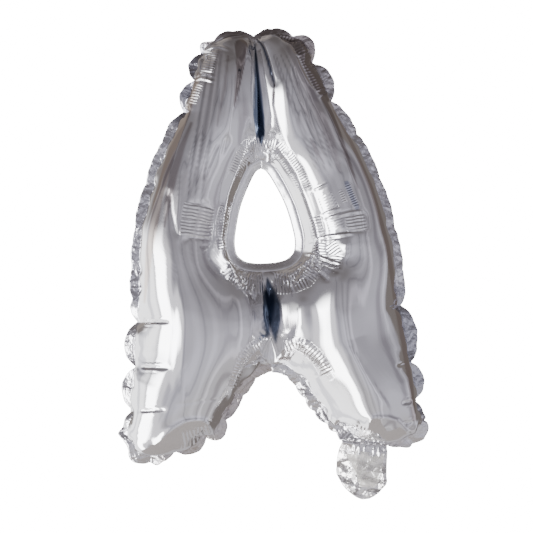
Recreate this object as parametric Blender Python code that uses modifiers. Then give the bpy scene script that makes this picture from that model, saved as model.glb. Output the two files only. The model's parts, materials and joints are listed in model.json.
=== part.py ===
"""Silver foil balloon in the shape of a capital A, blown up and hanging by the notch at its top.

Two foil panels are sealed together round the letter and round the hole in its middle. A margin of flat
foil stands out past both seals, and a flattened filler tail hangs in a fold under the right foot.
Metres, +Z up, front towards -Y. The origin is the apex notch of the sealed margin.
"""

import math

import bmesh
import bpy
from mathutils import Vector
from mathutils.kdtree import KDTree

MM = 0.001

# Seal lines of the right half: (out from the centre line, down from the apex notch), in millimetres
TOP_SEAL = [(0, 8.3), (15, 4.5), (30, 6), (41, 12), (47, 22)]
OUTER_SEAL = [(47, 22), (60, 60), (79, 100), (93, 140), (102.5, 180), (108.5, 222), (113, 262), (117, 302), (118, 336)]
FOOT_SEAL = [(50, 332), (66, 338.5), (88, 344), (106, 346.5), (118, 336)]
CROTCH_SEAL = [(0, 278), (13, 281), (24, 290), (33, 304), (41, 319), (50, 332)]
COUNTER_SEAL = [(0, 108), (9, 113), (17, 126), (25, 144), (30, 163), (32, 178), (29.5, 190), (21, 198), (10, 201), (0, 201.5)]

# Panels: how high they stand, and how far in from each seal they reach that height
HALF_THICKNESS = 30 * MM
BROAD_SWELL = {"height": 8.5 * MM, "start": 31 * MM, "reach": 11 * MM}
TOP_ROUNDING = 50 * MM
OUTER_ROUNDING = 32 * MM
FOOT_ROUNDING = 36 * MM
CROTCH_ROUNDING = 46 * MM
COUNTER_ROUNDING = 44 * MM
WALL = 1.0 * MM
RIM_GAP = 0.6 * MM

# Grooves where the two legs press together, above the counter and across the bar
APEX_GROOVE = {"depth": 0.72, "reach": 11.5 * MM, "end": 108 * MM, "fade": 45 * MM}
BAR_GROOVE = {"depth": 0.80, "reach": 16 * MM, "start": 215 * MM, "fade": 25 * MM}
GROOVE_SHAPE = 1.25

# Sealed margin, drawn in at its tucks: distances along the seal from the apex notch, in millimetres
TUCKS = [35, 62, 100, 133, 280, 322, 356, 378, 397, 418, 446, 470, 500]
TUCK_SPREAD = 11 * MM
TUCK_DRAW = 3.4 * MM
TUCK_DEPTH = 0.20
TUCK_REACH = 14 * MM
MARGIN = 8.2 * MM
MARGIN_THICKNESS = 1.0 * MM
SEAL_OVERLAP = 1.6 * MM
MARGIN_STEP = 4.0 * MM

# Filler tail, in a frame whose origin is the middle of its fold
FOLD_AT = (72 * MM, 349.0 * MM)
TAIL_LEAN = math.radians(9)
TAIL_WIDTH = 40 * MM
NECK_THICKNESS = 2.8 * MM
NECK_DROP = 7 * MM
FOLD_GAP = 0.4 * MM
LEAF_DROP = 46 * MM
LEAF_THICKNESS = 0.8 * MM
FILM_WIDTH = 33 * MM
FILM_DROP = 37 * MM
FILM_THICKNESS = 0.6 * MM
SEAT = 0.3 * MM

# Panel grid: rows of each stretch of the inner edge, and where the stretch ends on the outer edge
STRETCHES = [
    {"line": "apex groove", "rows": 12, "outer_end": 0.22},
    {"line": "counter side", "rows": 10, "outer_end": 0.50},
    {"line": "counter foot", "rows": 5, "outer_end": 0.57},
    {"line": "bar groove", "rows": 8, "outer_end": 0.74},
    {"line": "inner leg", "rows": 10, "outer_end": 1.0},
]
GROOVES = ("apex groove", "bar groove")
COLUMNS = 12
COUNTER_CORNER = 0.74


def clear_scene():
    for obj in list(bpy.data.objects):
        bpy.data.objects.remove(obj, do_unlink=True)


def new_collection(name):
    collection = bpy.data.collections.new(name)
    bpy.context.scene.collection.children.link(collection)
    return collection


def new_material(name, colour, roughness, metallic, alpha=1.0):
    material = bpy.data.materials.new(name)
    material.use_nodes = True
    shader = material.node_tree.nodes["Principled BSDF"]
    shader.inputs["Base Color"].default_value = (*colour, 1.0)
    shader.inputs["Roughness"].default_value = roughness
    shader.inputs["Metallic"].default_value = metallic
    shader.inputs["Alpha"].default_value = alpha
    return material


def curve_through(key_points, steps=12):
    """Smooth line through points given in millimetres, as (out, down) pairs in metres."""
    points = [Vector(p) * MM for p in key_points]
    points = [2 * points[0] - points[1], *points, 2 * points[-1] - points[-2]]
    line = []
    for a, b, c, d in zip(points, points[1:], points[2:], points[3:]):
        for i in range(steps):
            t = i / steps
            line.append(
                0.5 * (2 * b + (c - a) * t + (2 * a - 5 * b + 4 * c - d) * t**2 + (3 * b - a - 3 * c + d) * t**3)
            )
    line.append(points[-2])
    return line


class Line:
    """A plane line read by the share of its length."""

    def __init__(self, points):
        self.points = points
        self.lengths = [0.0]
        for a, b in zip(points, points[1:]):
            self.lengths.append(self.lengths[-1] + (b - a).length)

    @property
    def length(self):
        return self.lengths[-1]

    def at(self, share):
        """The point at this share of the length, from 0 to 1."""
        distance = min(max(share, 0.0), 1.0) * self.length
        for i in range(1, len(self.points)):
            if self.lengths[i] >= distance:
                span = self.lengths[i] - self.lengths[i - 1]
                part = (distance - self.lengths[i - 1]) / span if span else 0.0
                return self.points[i - 1].lerp(self.points[i], part)
        return self.points[-1].copy()


def mirrored(points):
    return [Vector((-p.x, p.y)) for p in points]


def full_loop(right_half):
    """Closes a half outline that starts and ends on the centre line, without repeating its ends."""
    return right_half + mirrored(right_half[-2:0:-1])


TOP = Line(curve_through(TOP_SEAL))
OUTER = Line(curve_through(OUTER_SEAL))
FOOT = Line(curve_through(FOOT_SEAL))
CROTCH = Line(curve_through(CROTCH_SEAL))
COUNTER = Line(curve_through(COUNTER_SEAL))
LETTER_LOOP = full_loop(TOP.points + OUTER.points[1:] + FOOT.points[-2::-1] + CROTCH.points[-2::-1])
COUNTER_LOOP = full_loop(COUNTER.points)


def point_tree(points):
    tree = KDTree(len(points))
    for i, p in enumerate(points):
        tree.insert((p.x, p.y, 0.0), i)
    tree.balance()
    return tree


def seal_trees():
    """Every seal line of the whole letter, each with how far in from it the panel is rounded."""
    reaches = (
        (TOP, TOP_ROUNDING),
        (OUTER, OUTER_ROUNDING),
        (FOOT, FOOT_ROUNDING),
        (CROTCH, CROTCH_ROUNDING),
        (COUNTER, COUNTER_ROUNDING),
    )
    return [(point_tree(line.points + mirrored(line.points)), reach) for line, reach in reaches]


def tuck(distance):
    """1 in a tuck and 0 between two, by the distance along the seal from the apex notch."""
    nearest = min(abs(distance - at * MM) for at in TUCKS)
    return max(1 - nearest / TUCK_SPREAD, 0.0)


def inner_point(stretch, share):
    """The point on the half letter's inner edge: the centre line, the counter's side or the leg's."""
    if stretch == "apex groove":
        return TOP.points[0].lerp(COUNTER.points[0], share)
    if stretch == "counter side":
        return COUNTER.at(share * COUNTER_CORNER)
    if stretch == "counter foot":
        return COUNTER.at(COUNTER_CORNER + share * (1 - COUNTER_CORNER))
    if stretch == "bar groove":
        return COUNTER.points[-1].lerp(CROTCH.points[0], share)
    return CROTCH.at(share)


def row_ends():
    """(stretch, inner point, outer point, share of all rows) of each grid row, from apex to foot."""
    total = sum(s["rows"] for s in STRETCHES)
    rows, done, outer_start = [], 0, 0.0
    for stretch in STRETCHES:
        first = stretch is STRETCHES[0]
        last = stretch is STRETCHES[-1]
        for i in range(stretch["rows"] + last):
            share = i / stretch["rows"]
            if first:
                share = share**1.6
            if last:
                share = 1 - (1 - share) ** 1.7
            outer = outer_start + share * (stretch["outer_end"] - outer_start)
            line = stretch["line"]
            rows.append((line, inner_point(line, share), OUTER.at(outer), (done + i) / total))
        done += stretch["rows"]
        outer_start = stretch["outer_end"]
    return rows


def held_to_one(value):
    return min(max(value, 0.0), 1.0)


def groove(point):
    """Share of the height left beside the grooves, where the legs press together."""
    apex = held_to_one(1 - (point.y - APEX_GROOVE["end"]) / APEX_GROOVE["fade"])
    bar = held_to_one(1 + (point.y - BAR_GROOVE["start"]) / BAR_GROOVE["fade"])
    share = 1.0
    for shape, strength in ((APEX_GROOVE, apex), (BAR_GROOVE, bar)):
        near = math.exp(-((abs(point.x) / shape["reach"]) ** GROOVE_SHAPE))
        share -= shape["depth"] * strength * near
    return share


def panel_height(point, outer_distance, seals):
    """How far the blown panel stands off the seal plane at a point off its seals."""
    flat = (point.x, point.y, 0.0)
    distances = [(tree.find(flat)[2], reach) for tree, reach in seals]
    away = min(distance for distance, _ in distances)
    within = min(min(distance / reach, 1.0) for distance, reach in distances)
    height = HALF_THICKNESS * math.sqrt(1 - (1 - within) ** 2)
    inland = max(away - BROAD_SWELL["start"], 0.0) / BROAD_SWELL["reach"]
    height += BROAD_SWELL["height"] * (1 - math.exp(-(inland**2)))
    pinch = TUCK_DEPTH * tuck(outer_distance) * math.exp(-away / TUCK_REACH)
    return height * groove(point) * (1 - pinch)


def add_panel(name, side, collection, material):
    """One blown foil panel: half a letter as a bent grid, mirrored and given its wall."""
    rows = row_ends()
    seals = seal_trees()
    corners = (TOP.at(0), TOP.at(1), FOOT.at(0), FOOT.at(1))
    bm = bmesh.new()
    bmesh.ops.create_grid(bm, x_segments=COLUMNS, y_segments=len(rows) - 1, size=0.5)
    for vert in bm.verts:
        across = 0.5 - 0.5 * math.cos(math.pi * (vert.co.x + 0.5))
        row = round((vert.co.y + 0.5) * (len(rows) - 1))
        stretch, inner, outer, down = rows[row]
        place = inner.lerp(outer, across)
        place += (1 - down) ** 6 * (TOP.at(across) - corners[0].lerp(corners[1], across))
        place += down**6 * (FOOT.at(across) - corners[2].lerp(corners[3], across))
        sealed = across > 0.999 or row in (0, len(rows) - 1) or (across < 0.001 and stretch not in GROOVES)
        rise = 0.0 if sealed else panel_height(place, row_distance(outer), seals)
        vert.co = (place.x, side * (RIM_GAP + MARGIN_THICKNESS / 2 + rise), -place.y)
    if side > 0:
        bmesh.ops.reverse_faces(bm, faces=bm.faces)
    mesh = bpy.data.meshes.new(name)
    bm.to_mesh(mesh)
    bm.free()
    mesh.shade_smooth()
    panel = bpy.data.objects.new(name, mesh)
    mesh.materials.append(material)
    collection.objects.link(panel)
    mirror = panel.modifiers.new("Other half", "MIRROR")
    mirror.use_clip = True
    mirror.merge_threshold = 0.0001
    wall = panel.modifiers.new("Wall", "SOLIDIFY")
    wall.thickness = WALL
    wall.offset = -1
    return panel


def row_distance(outer):
    """Distance along the seal from the apex notch to a point of the outer edge."""
    nearest = min(range(len(OUTER.points)), key=lambda i: (OUTER.points[i] - outer).length)
    return TOP.length + OUTER.lengths[nearest]


def even_loop(loop, step):
    """The closed loop as evenly spaced points."""
    line = Line([*loop, loop[0]])
    count = round(line.length / step)
    return [line.at(i / count) for i in range(count)]


def outward(loop, index):
    """Unit normal of a clockwise-down loop at one of its points, away from the foil."""
    before, after = loop[index - 1], loop[(index + 1) % len(loop)]
    along = (after - before).normalized()
    return Vector((along.y, -along.x))


def offset_loop(loop, offsets):
    return [p + outward(loop, i) * offsets[i] for i, p in enumerate(loop)]


def flat_piece(name, loops, thickness, collection, material, cyclic=True):
    """A flat sheet in the XZ plane from closed outlines of (out, down) points."""
    curve = bpy.data.curves.new(name, "CURVE")
    curve.dimensions = "2D"
    curve.fill_mode = "BOTH"
    curve.extrude = thickness / 2
    for loop in loops:
        spline = curve.splines.new("POLY")
        spline.points.add(len(loop) - 1)
        for point, place in zip(spline.points, loop):
            point.co = (place.x, -place.y, 0.0, 1.0)
        spline.use_cyclic_u = cyclic
    curve.materials.append(material)
    sheet = bpy.data.objects.new(name, curve)
    sheet.rotation_euler = (math.pi / 2, 0.0, 0.0)
    collection.objects.link(sheet)
    return sheet


def tail_frame(point):
    """A seal-plane point as (along the fold, below it), in the tail's leaning frame."""
    away = point - Vector(FOLD_AT)
    c, s = math.cos(TAIL_LEAN), math.sin(TAIL_LEAN)
    return Vector((away.x * c + away.y * s, -away.x * s + away.y * c))


def from_tail_frame(point):
    c, s = math.cos(TAIL_LEAN), math.sin(TAIL_LEAN)
    return Vector(FOLD_AT) + Vector((point.x * c - point.y * s, point.x * s + point.y * c))


def straight_at_tail(point):
    """Brings the margin's lower edge onto the line just above the fold, over the tail's width."""
    local = tail_frame(point)
    if abs(local.x) < TAIL_WIDTH / 2 + MARGIN_STEP and -MARGIN < local.y:
        return from_tail_frame(Vector((local.x, -NECK_THICKNESS / 2 - FOLD_GAP)))
    return point


def add_outer_margin(collection, material):
    loop = even_loop(LETTER_LOOP, MARGIN_STEP)
    step = Line([*loop, loop[0]]).length / len(loop)
    half = len(loop) / 2
    widths = []
    for i in range(len(loop)):
        from_notch = (half - abs(i - half)) * step
        widths.append(MARGIN - TUCK_DRAW * tuck(from_notch))
    edge = [straight_at_tail(p) for p in offset_loop(loop, widths)]
    under = offset_loop(loop, [-SEAL_OVERLAP] * len(loop))
    return flat_piece("outer_margin", [edge, under], MARGIN_THICKNESS, collection, material)


def add_counter_margin(collection, material):
    loop = even_loop(COUNTER_LOOP, MARGIN_STEP)
    edge = offset_loop(loop, [-MARGIN] * len(loop))
    under = offset_loop(loop, [SEAL_OVERLAP] * len(loop))
    return flat_piece("counter_margin", [under, edge], MARGIN_THICKNESS, collection, material)


def add_neck(fold, collection, material):
    """The folded root of the tail: a flattened foil tube whose top turns about the fold."""
    radius = NECK_THICKNESS / 2
    profile = [Vector((-radius, -NECK_DROP)), Vector((radius, -NECK_DROP))]
    profile += [Vector((math.cos(a), math.sin(a))) * radius for a in (math.pi * i / 8 for i in range(9))]
    curve = bpy.data.curves.new("filler_neck", "CURVE")
    curve.dimensions = "2D"
    curve.fill_mode = "BOTH"
    curve.extrude = TAIL_WIDTH / 2
    spline = curve.splines.new("POLY")
    spline.points.add(len(profile) - 1)
    for point, place in zip(spline.points, profile):
        point.co = (place.x, place.y, 0.0, 1.0)
    spline.use_cyclic_u = True
    curve.materials.append(material)
    neck = bpy.data.objects.new("filler_neck", curve)
    neck.rotation_euler = (math.pi / 2, 0.0, math.pi / 2)
    neck.parent = fold
    collection.objects.link(neck)
    return neck


def tongue(width, top, bottom, steps=14):
    """Outline of a strip with a round lower end, as (out, down) points."""
    half = width / 2
    end = [
        Vector((half * math.cos(a), bottom - half + half * math.sin(a)))
        for a in (math.pi * i / steps for i in range(steps + 1))
    ]
    return [Vector((-half, top)), Vector((half, top)), *end]


def add_leaf(fold, collection, material):
    """The back foil of the tail, hanging below the neck."""
    outline = tongue(TAIL_WIDTH, NECK_DROP + SEAT, LEAF_DROP)
    leaf = flat_piece("tail_leaf", [outline], LEAF_THICKNESS, collection, material)
    leaf.location = (0.0, SEAT / 2 + LEAF_THICKNESS / 2, 0.0)
    leaf.parent = fold
    return leaf


def add_valve_film(fold, collection, material):
    """The clear valve strip that lies on the leaf and takes the filling straw."""
    outline = tongue(FILM_WIDTH, NECK_DROP + SEAT, FILM_DROP)
    film = flat_piece("valve_film", [outline], FILM_THICKNESS, collection, material)
    film.location = (0.0, -SEAT / 2 - FILM_THICKNESS / 2, 0.0)
    film.parent = fold
    return film


def add_fold():
    """The empty on the fold's axis, leaning as the tail hangs."""
    fold = bpy.data.objects.new("tail_fold", None)
    fold.location = (FOLD_AT[0], 0.0, -FOLD_AT[1])
    fold.rotation_euler = (0.0, TAIL_LEAN, 0.0)
    return fold


def main():
    clear_scene()
    collection = new_collection("letter_foil_balloon")
    foil = new_material("silver_foil", (0.80, 0.80, 0.82), 0.12, 1.0)
    margin_foil = new_material("margin_foil", (0.72, 0.72, 0.75), 0.28, 1.0)
    film = new_material("valve_film", (0.86, 0.85, 0.82), 0.25, 0.0, 0.6)
    add_panel("front_panel", -1, collection, foil)
    add_panel("back_panel", 1, collection, foil)
    add_outer_margin(collection, margin_foil)
    add_counter_margin(collection, margin_foil)
    fold = add_fold()
    collection.objects.link(fold)
    add_neck(fold, collection, margin_foil)
    add_leaf(fold, collection, margin_foil)
    add_valve_film(fold, collection, film)


main()
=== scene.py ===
"""Looks of a silver foil balloon in the shape of a capital A.

The two foil panels are cut flat, sealed along the letter's lines and blown up by a cloth simulation, so
that their folds, puckers and tucks are those of a stretchless film. The sealed margins and the filler
tail are modelled as crinkled foil. Everything is in metres, in the frame's own axes: +X to the right of
the letter as it is read, +Y to its back, +Z up, with the origin at the apex notch.
"""

from __future__ import annotations

import bisect
import json
import logging
import math
import random
from collections.abc import Callable
from dataclasses import dataclass, field
from enum import Enum

import bmesh
import bpy
from bpy.types import Material, Mesh, Object
from mathutils import Matrix, Vector, noise
from mathutils.kdtree import KDTree

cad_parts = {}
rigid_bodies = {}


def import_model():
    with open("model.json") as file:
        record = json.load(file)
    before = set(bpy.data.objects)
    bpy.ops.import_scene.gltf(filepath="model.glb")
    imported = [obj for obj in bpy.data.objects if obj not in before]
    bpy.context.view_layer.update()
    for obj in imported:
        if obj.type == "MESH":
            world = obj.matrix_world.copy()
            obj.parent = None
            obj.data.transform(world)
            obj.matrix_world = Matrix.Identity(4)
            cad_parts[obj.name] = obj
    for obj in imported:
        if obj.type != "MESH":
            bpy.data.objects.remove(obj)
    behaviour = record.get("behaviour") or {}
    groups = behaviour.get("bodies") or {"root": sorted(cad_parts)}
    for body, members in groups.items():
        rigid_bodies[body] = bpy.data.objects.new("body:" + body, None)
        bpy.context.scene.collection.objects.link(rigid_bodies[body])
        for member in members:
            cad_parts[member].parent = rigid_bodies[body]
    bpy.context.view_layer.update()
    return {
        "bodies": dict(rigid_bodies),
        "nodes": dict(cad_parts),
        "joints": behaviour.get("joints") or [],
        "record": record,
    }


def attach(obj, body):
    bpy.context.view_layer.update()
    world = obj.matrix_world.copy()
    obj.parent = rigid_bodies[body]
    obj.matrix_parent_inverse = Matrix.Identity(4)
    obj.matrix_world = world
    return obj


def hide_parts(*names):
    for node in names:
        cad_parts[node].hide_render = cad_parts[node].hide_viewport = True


MM = 0.001
PHOTO_SIDE = 533
log = logging.getLogger("letter_balloon")

Pair = tuple[float, float]
Pairs = tuple[Pair, ...]
Triple = tuple[float, float, float]


def add_object(name: str, data: bpy.types.ID) -> Object:
    """Puts a new object with this data into the scene, at the origin."""
    item = bpy.data.objects.new(name, data)
    bpy.context.scene.collection.objects.link(item)
    return item


def as_mesh(bm: bmesh.types.BMesh, name: str) -> Mesh:
    """Turns a bmesh, which is freed, into a mesh."""
    mesh = bpy.data.meshes.new(name)
    bm.to_mesh(mesh)
    bm.free()
    return mesh


class Side(Enum):
    """Which face of the letter a panel makes, by the sign of its Y."""

    FRONT = -1
    BACK = 1


class Stretch(Enum):
    """The four stretches of a half letter's inner edge, from the apex down to the foot."""

    APEX_GROOVE = "apex groove"
    COUNTER = "counter"
    BAR_GROOVE = "bar groove"
    INNER_LEG = "inner leg"


@dataclass(frozen=True)
class Outline:
    """Seal lines of the right half, as (out from the centre line, down from the origin) in millimetres."""

    top: Pairs
    outer: Pairs
    foot: Pairs
    crotch: Pairs
    counter: Pairs


BLOWN = Outline(
    top=((0, 8.3), (15, 4.5), (30, 6), (41, 12), (47, 22)),
    outer=(
        (47, 22), (60, 60), (79, 100), (93, 140), (102.5, 180), (108.5, 222), (113, 262), (117, 302),
        (118, 336),
    ),
    foot=((50, 332), (66, 338.5), (88, 344), (106, 346.5), (118, 336)),
    crotch=((0, 278), (13, 281), (24, 290), (33, 304), (41, 319), (50, 332)),
    counter=(
        (0, 108), (9, 113), (17, 126), (25, 144), (30, 163), (32, 178), (29.5, 190), (21, 198), (10, 201),
        (0, 201.5),
    ),
)
CUT_FLAT = Outline(
    top=((0, 1), (9, -9), (18, -14), (34, -16), (54, -5), (67, 10)),
    outer=(
        (67, 10), (90, 53), (111, 95), (128, 137.6), (137, 180), (140, 224.5), (143, 267), (148, 309),
        (150, 348),
    ),
    foot=((52, 344), (70, 361), (98, 371), (128, 367), (150, 348)),
    crotch=((0, 279), (6, 285), (14, 294), (24, 303), (33, 315), (42, 329), (52, 344)),
    counter=(
        (0, 103), (9, 109), (17, 123), (25, 142), (30, 162), (32, 178), (30, 190), (22, 197.5), (10, 200),
        (0, 204),
    ),
)


class SealLine:
    """A smooth plane line through key points, read by the share of its length."""

    STEPS = 12

    def __init__(self, keys: Pairs) -> None:
        """Args:
        keys: points as (out, down) in millimetres.
        """
        ends = [Vector(key) * MM for key in keys]
        ends = [2 * ends[0] - ends[1], *ends, 2 * ends[-1] - ends[-2]]
        self.points: list[Vector] = []
        for a, b, c, d in zip(ends, ends[1:], ends[2:], ends[3:]):
            for i in range(self.STEPS):
                self.points.append(self._smooth(a, b, c, d, i / self.STEPS))
        self.points.append(ends[-2])
        self.lengths = [0.0]
        for a, b in zip(self.points, self.points[1:]):
            self.lengths.append(self.lengths[-1] + (b - a).length)

    @staticmethod
    def _smooth(a: Vector, b: Vector, c: Vector, d: Vector, t: float) -> Vector:
        """Point at t of the stretch from b to c of a curve through a, b, c and d."""
        square, cube = 2 * a - 5 * b + 4 * c - d, 3 * b - a - 3 * c + d
        return 0.5 * (2 * b + (c - a) * t + square * t**2 + cube * t**3)

    @property
    def length(self) -> float:
        """Whole length in metres."""
        return self.lengths[-1]

    def at(self, share: float) -> Vector:
        """Point at this share of the length, from 0 to 1."""
        return self.along(share * self.length)

    def along(self, distance: float) -> Vector:
        """Point this many metres along, held to the line's ends."""
        distance = min(max(distance, 0.0), self.length)
        i = min(max(bisect.bisect_left(self.lengths, distance), 1), len(self.points) - 1)
        span = self.lengths[i] - self.lengths[i - 1]
        part = (distance - self.lengths[i - 1]) / span if span else 0.0
        return self.points[i - 1].lerp(self.points[i], part)


class HalfLetter:
    """The right half of the letter, as seal lines and as places between them."""

    END_PULL = 6

    def __init__(self, outline: Outline) -> None:
        """Args:
        outline: the half's seal lines.
        """
        self.top = SealLine(outline.top)
        self.outer = SealLine(outline.outer)
        self.foot = SealLine(outline.foot)
        self.crotch = SealLine(outline.crotch)
        self.counter = SealLine(outline.counter)

    @property
    def perimeter(self) -> float:
        """Length of the outer seal from the apex notch round to the middle of the crotch."""
        return self.top.length + self.outer.length + self.foot.length + self.crotch.length

    def seal_point(self, distance: float) -> Vector:
        """Point of the outer seal this far from the apex notch, going down the outside first."""
        lines = ((self.top, True), (self.outer, True), (self.foot, False), (self.crotch, False))
        for line, forwards in lines:
            if distance <= line.length:
                return line.along(distance if forwards else line.length - distance)
            distance -= line.length
        return self.crotch.points[0].copy()

    def inner_point(self, stretch: Stretch, share: float) -> Vector:
        """Point of the inner edge: the centre line, the counter's side or the leg's."""
        if stretch is Stretch.APEX_GROOVE:
            return self.top.points[0].lerp(self.counter.points[0], share)
        if stretch is Stretch.COUNTER:
            return self.counter.at(share)
        if stretch is Stretch.BAR_GROOVE:
            return self.counter.points[-1].lerp(self.crotch.points[0], share)
        return self.crotch.at(share)

    def place(self, row: Row, across: float, spread: float) -> Vector:
        """A place on the half letter.

        Args:
            row: the row of the panel's grid.
            across: share of the way along the top and foot seals; not used.
            spread: share of the way from the inner edge to the outer one.

        Returns:
            The place as (out, down) in metres.
        """
        place = self.inner_point(row.stretch, row.share).lerp(self.outer.at(row.outer_share), spread)
        for line, near in ((self.top, 1 - row.down), (self.foot, row.down)):
            place += near**self.END_PULL * (line.at(spread) - line.at(0).lerp(line.at(1), spread))
        return place


@dataclass(frozen=True)
class Row:
    """One row of a panel's grid, which runs from the inner edge out to the outer seal."""

    stretch: Stretch
    share: float
    outer_share: float
    down: float


@dataclass
class Spot:
    """A vertex's place on a panel's film.

    Attributes:
        hand: 1 on the letter's right half, -1 on its left, 0 on the centre line.
        column: column of the grid, from 0 at the inner edge.
        across: share of the way across its row.
        index: its row.
        width: length of its row on the flat film.
        sealed: whether a seal holds it.
    """

    hand: int
    column: int
    across: float
    index: int
    width: float
    sealed: bool = False

    @property
    def inner_reach(self) -> float:
        """Metres of film from the row's inner end."""
        return self.across * self.width

    @property
    def outer_reach(self) -> float:
        """Metres of film to the outer seal."""
        return (1 - self.across) * self.width


def smooth_step(value: float, low: float, high: float) -> float:
    """Smooth step from 0 at low to 1 at high."""
    share = min(max((value - low) / (high - low), 0.0), 1.0)
    return share * share * (3 - 2 * share)


@dataclass(frozen=True)
class Tuck:
    """A place where the blown seal is drawn in and folds over.

    Attributes:
        at: distance along the outer seal from the apex notch, in millimetres.
        depth: how far the seal is drawn in there, in millimetres.
        lean: how far it leans to the back there, in millimetres.
    """

    at: float
    depth: float
    lean: float


RIGHT_TUCKS = tuple(
    Tuck(*tuck)
    for tuck in (
        (16, 1.0, 0.6), (33, 2.0, -1.2), (62, 3.0, 1.6), (98, 3.0, -1.6), (132, 1.0, 1.0),
        (172, 0.8, -0.8), (214, 0.9, 0.8), (250, 1.0, -0.8), (279, 3.2, 1.6), (327, 3.4, -1.8),
        (359, 3.2, 1.6), (376, 2.8, -1.4), (392, 2.2, 1.4), (406, 1.4, -1.2), (418, 1.6, 1.2),
        (432, 1.8, -1.2), (447, 2.4, 1.6), (460, 1.6, -1.4), (473, 1.6, 1.4), (487, 1.4, -1.4),
        (500, 1.2, 1.2), (514, 1.0, -1.0),
    )
)
LEFT_TUCKS = tuple(
    Tuck(*tuck)
    for tuck in (
        (18, 1.0, 0.6), (35, 2.2, -1.2), (50, 2.2, 1.4), (74, 3.0, -1.6), (101, 3.0, 1.6),
        (132, 1.2, -0.8), (168, 0.8, 0.8), (204, 0.8, -0.8), (238, 1.2, 0.8), (262, 1.6, -1.2),
        (281, 3.4, 1.6), (318, 3.6, -1.8), (354, 3.4, 1.6), (380, 3.0, -1.6), (398, 2.2, 1.4),
        (418, 2.2, -1.2), (446, 2.6, 1.4), (468, 2.0, -1.2), (492, 1.4, 0.8), (512, 1.0, -0.8),
    )
)


@dataclass(frozen=True)
class BlownSeal:
    """The outer seal once the letter is blown: drawn in at its tucks and swollen between them.

    Attributes:
        half: the blown half letter.
        tuck_reach: how far along the seal a tuck draws it in.
        lean_reach: how far along the seal a tuck leans it over.
        swell: how far it swells out between two tucks.
        ripple: height of its small ripples.
        ripple_pitch: length of its small ripples.
        main_depth: depth from which a tuck parts two swellings, in millimetres.
        creased: between which places along the seal the tucks crease the panels, in millimetres.
        crease_growth: for each hand a crease's length, and what each millimetre of depth adds to it.
    """

    half: HalfLetter
    tuck_reach: float = 5.0 * MM
    lean_reach: float = 6.0 * MM
    swell: float = 1.2 * MM
    ripple: float = 0.25 * MM
    ripple_pitch: float = 9.0 * MM
    main_depth: float = 1.9
    creased: Pair = (255, 377)
    crease_growth: tuple[tuple[int, float, float], ...] = ((1, 3, 2), (-1, 5, 5))

    FULL_LOBE, CALM_ENDS, CREASE_GAP, STEP = 30 * MM, 8 * MM, 2.4 * MM, 2.0 * MM

    def tucks(self, hand: int) -> tuple[Tuck, ...]:
        """The tucks of the right half for 1, of the left for -1."""
        return RIGHT_TUCKS if hand > 0 else LEFT_TUCKS

    def frame(self, distance: float, hand: int) -> tuple[Vector, Vector]:
        """Seal point and outward direction, before the tucks.

        Args:
            distance: metres along the outer seal from the apex notch.
            hand: 1 for the letter's right half, -1 for its left.

        Returns:
            The point and the unit direction away from the letter, both in space.
        """
        point = self.half.seal_point(distance)
        before = self.half.seal_point(max(distance - self.STEP, 0.0))
        along = self.half.seal_point(distance + self.STEP) - before
        away = Vector((along.y, -along.x)).normalized()
        return Vector((hand * point.x, 0.0, -point.y)), Vector((hand * away.x, 0.0, -away.y))

    def span(self, distance: float, hand: int) -> Pair:
        """Place between the two main tucks on either side.

        Args:
            distance: metres along the outer seal from the apex notch.
            hand: 1 for the right half, -1 for the left.

        Returns:
            The share of the way from one to the other, and the metres between them.
        """
        marks = [tuck.at * MM for tuck in self.tucks(hand) if tuck.depth >= self.main_depth]
        marks = [0.0, *marks, self.half.perimeter]
        i = min(max(bisect.bisect_right(marks, distance), 1), len(marks) - 1)
        length = marks[i] - marks[i - 1]
        return min(max((distance - marks[i - 1]) / length, 0.0), 1.0), length

    def draw(self, distance: float, hand: int) -> Pair:
        """How the tucks move the seal.

        Args:
            distance: metres along the outer seal from the apex notch.
            hand: 1 for the right half, -1 for the left.

        Returns:
            Metres that the seal moves outwards, and metres that it leans to the back.
        """
        share, length = self.span(distance, hand)
        out = self.swell * math.sin(math.pi * share) * min(length / self.FULL_LOBE, 1.0)
        lean = 0.0
        for tuck in self.tucks(hand):
            away = distance - tuck.at * MM
            out -= tuck.depth * MM * math.exp(-abs(away) / self.tuck_reach)
            lean += tuck.lean * MM * math.exp(-((away / self.lean_reach) ** 2))
        lean += self.ripple * noise.noise(Vector((distance / self.ripple_pitch, 3.0 * hand, 0.5)))
        calm = min(distance, self.half.perimeter - distance) / self.CALM_ENDS
        calm = min(max(calm, 0.0), 1.0)
        return out * calm, lean * calm

    def point(self, distance: float, hand: int) -> Vector:
        """Seal point in space, tucks and all."""
        base, away = self.frame(distance, hand)
        out, lean = self.draw(distance, hand)
        return base + away * out + Vector((0.0, lean, 0.0))

    def creases(self) -> tuple[Fold, ...]:
        """Folds that run in over the panels from each main tuck: a valley between two small rings."""
        folds = []
        for hand, shortest, growth in self.crease_growth:
            for tuck in self.tucks(hand):
                if tuck.depth < self.main_depth or not self.creased[0] < tuck.at < self.creased[1]:
                    continue
                base, away = self.frame(tuck.at * MM, hand)
                start = base + away * self.draw(tuck.at * MM, hand)[0]
                beside = Vector((away.z, 0.0, -away.x)) * self.CREASE_GAP
                length = (shortest + growth * tuck.depth) * MM
                for shift, part, height in ((-1, 0.65, 0.6), (0, 1.0, -1.6), (1, 0.8, 0.6)):
                    near = start + beside * shift - away * 2 * MM
                    far = near - away * length * part + beside * 0.4
                    points = tuple((place.x / MM, -place.z / MM) for place in (near, far))
                    folds.append(Fold(points, height, 1.0, ring=bool(shift)))
        return tuple(folds)


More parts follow.
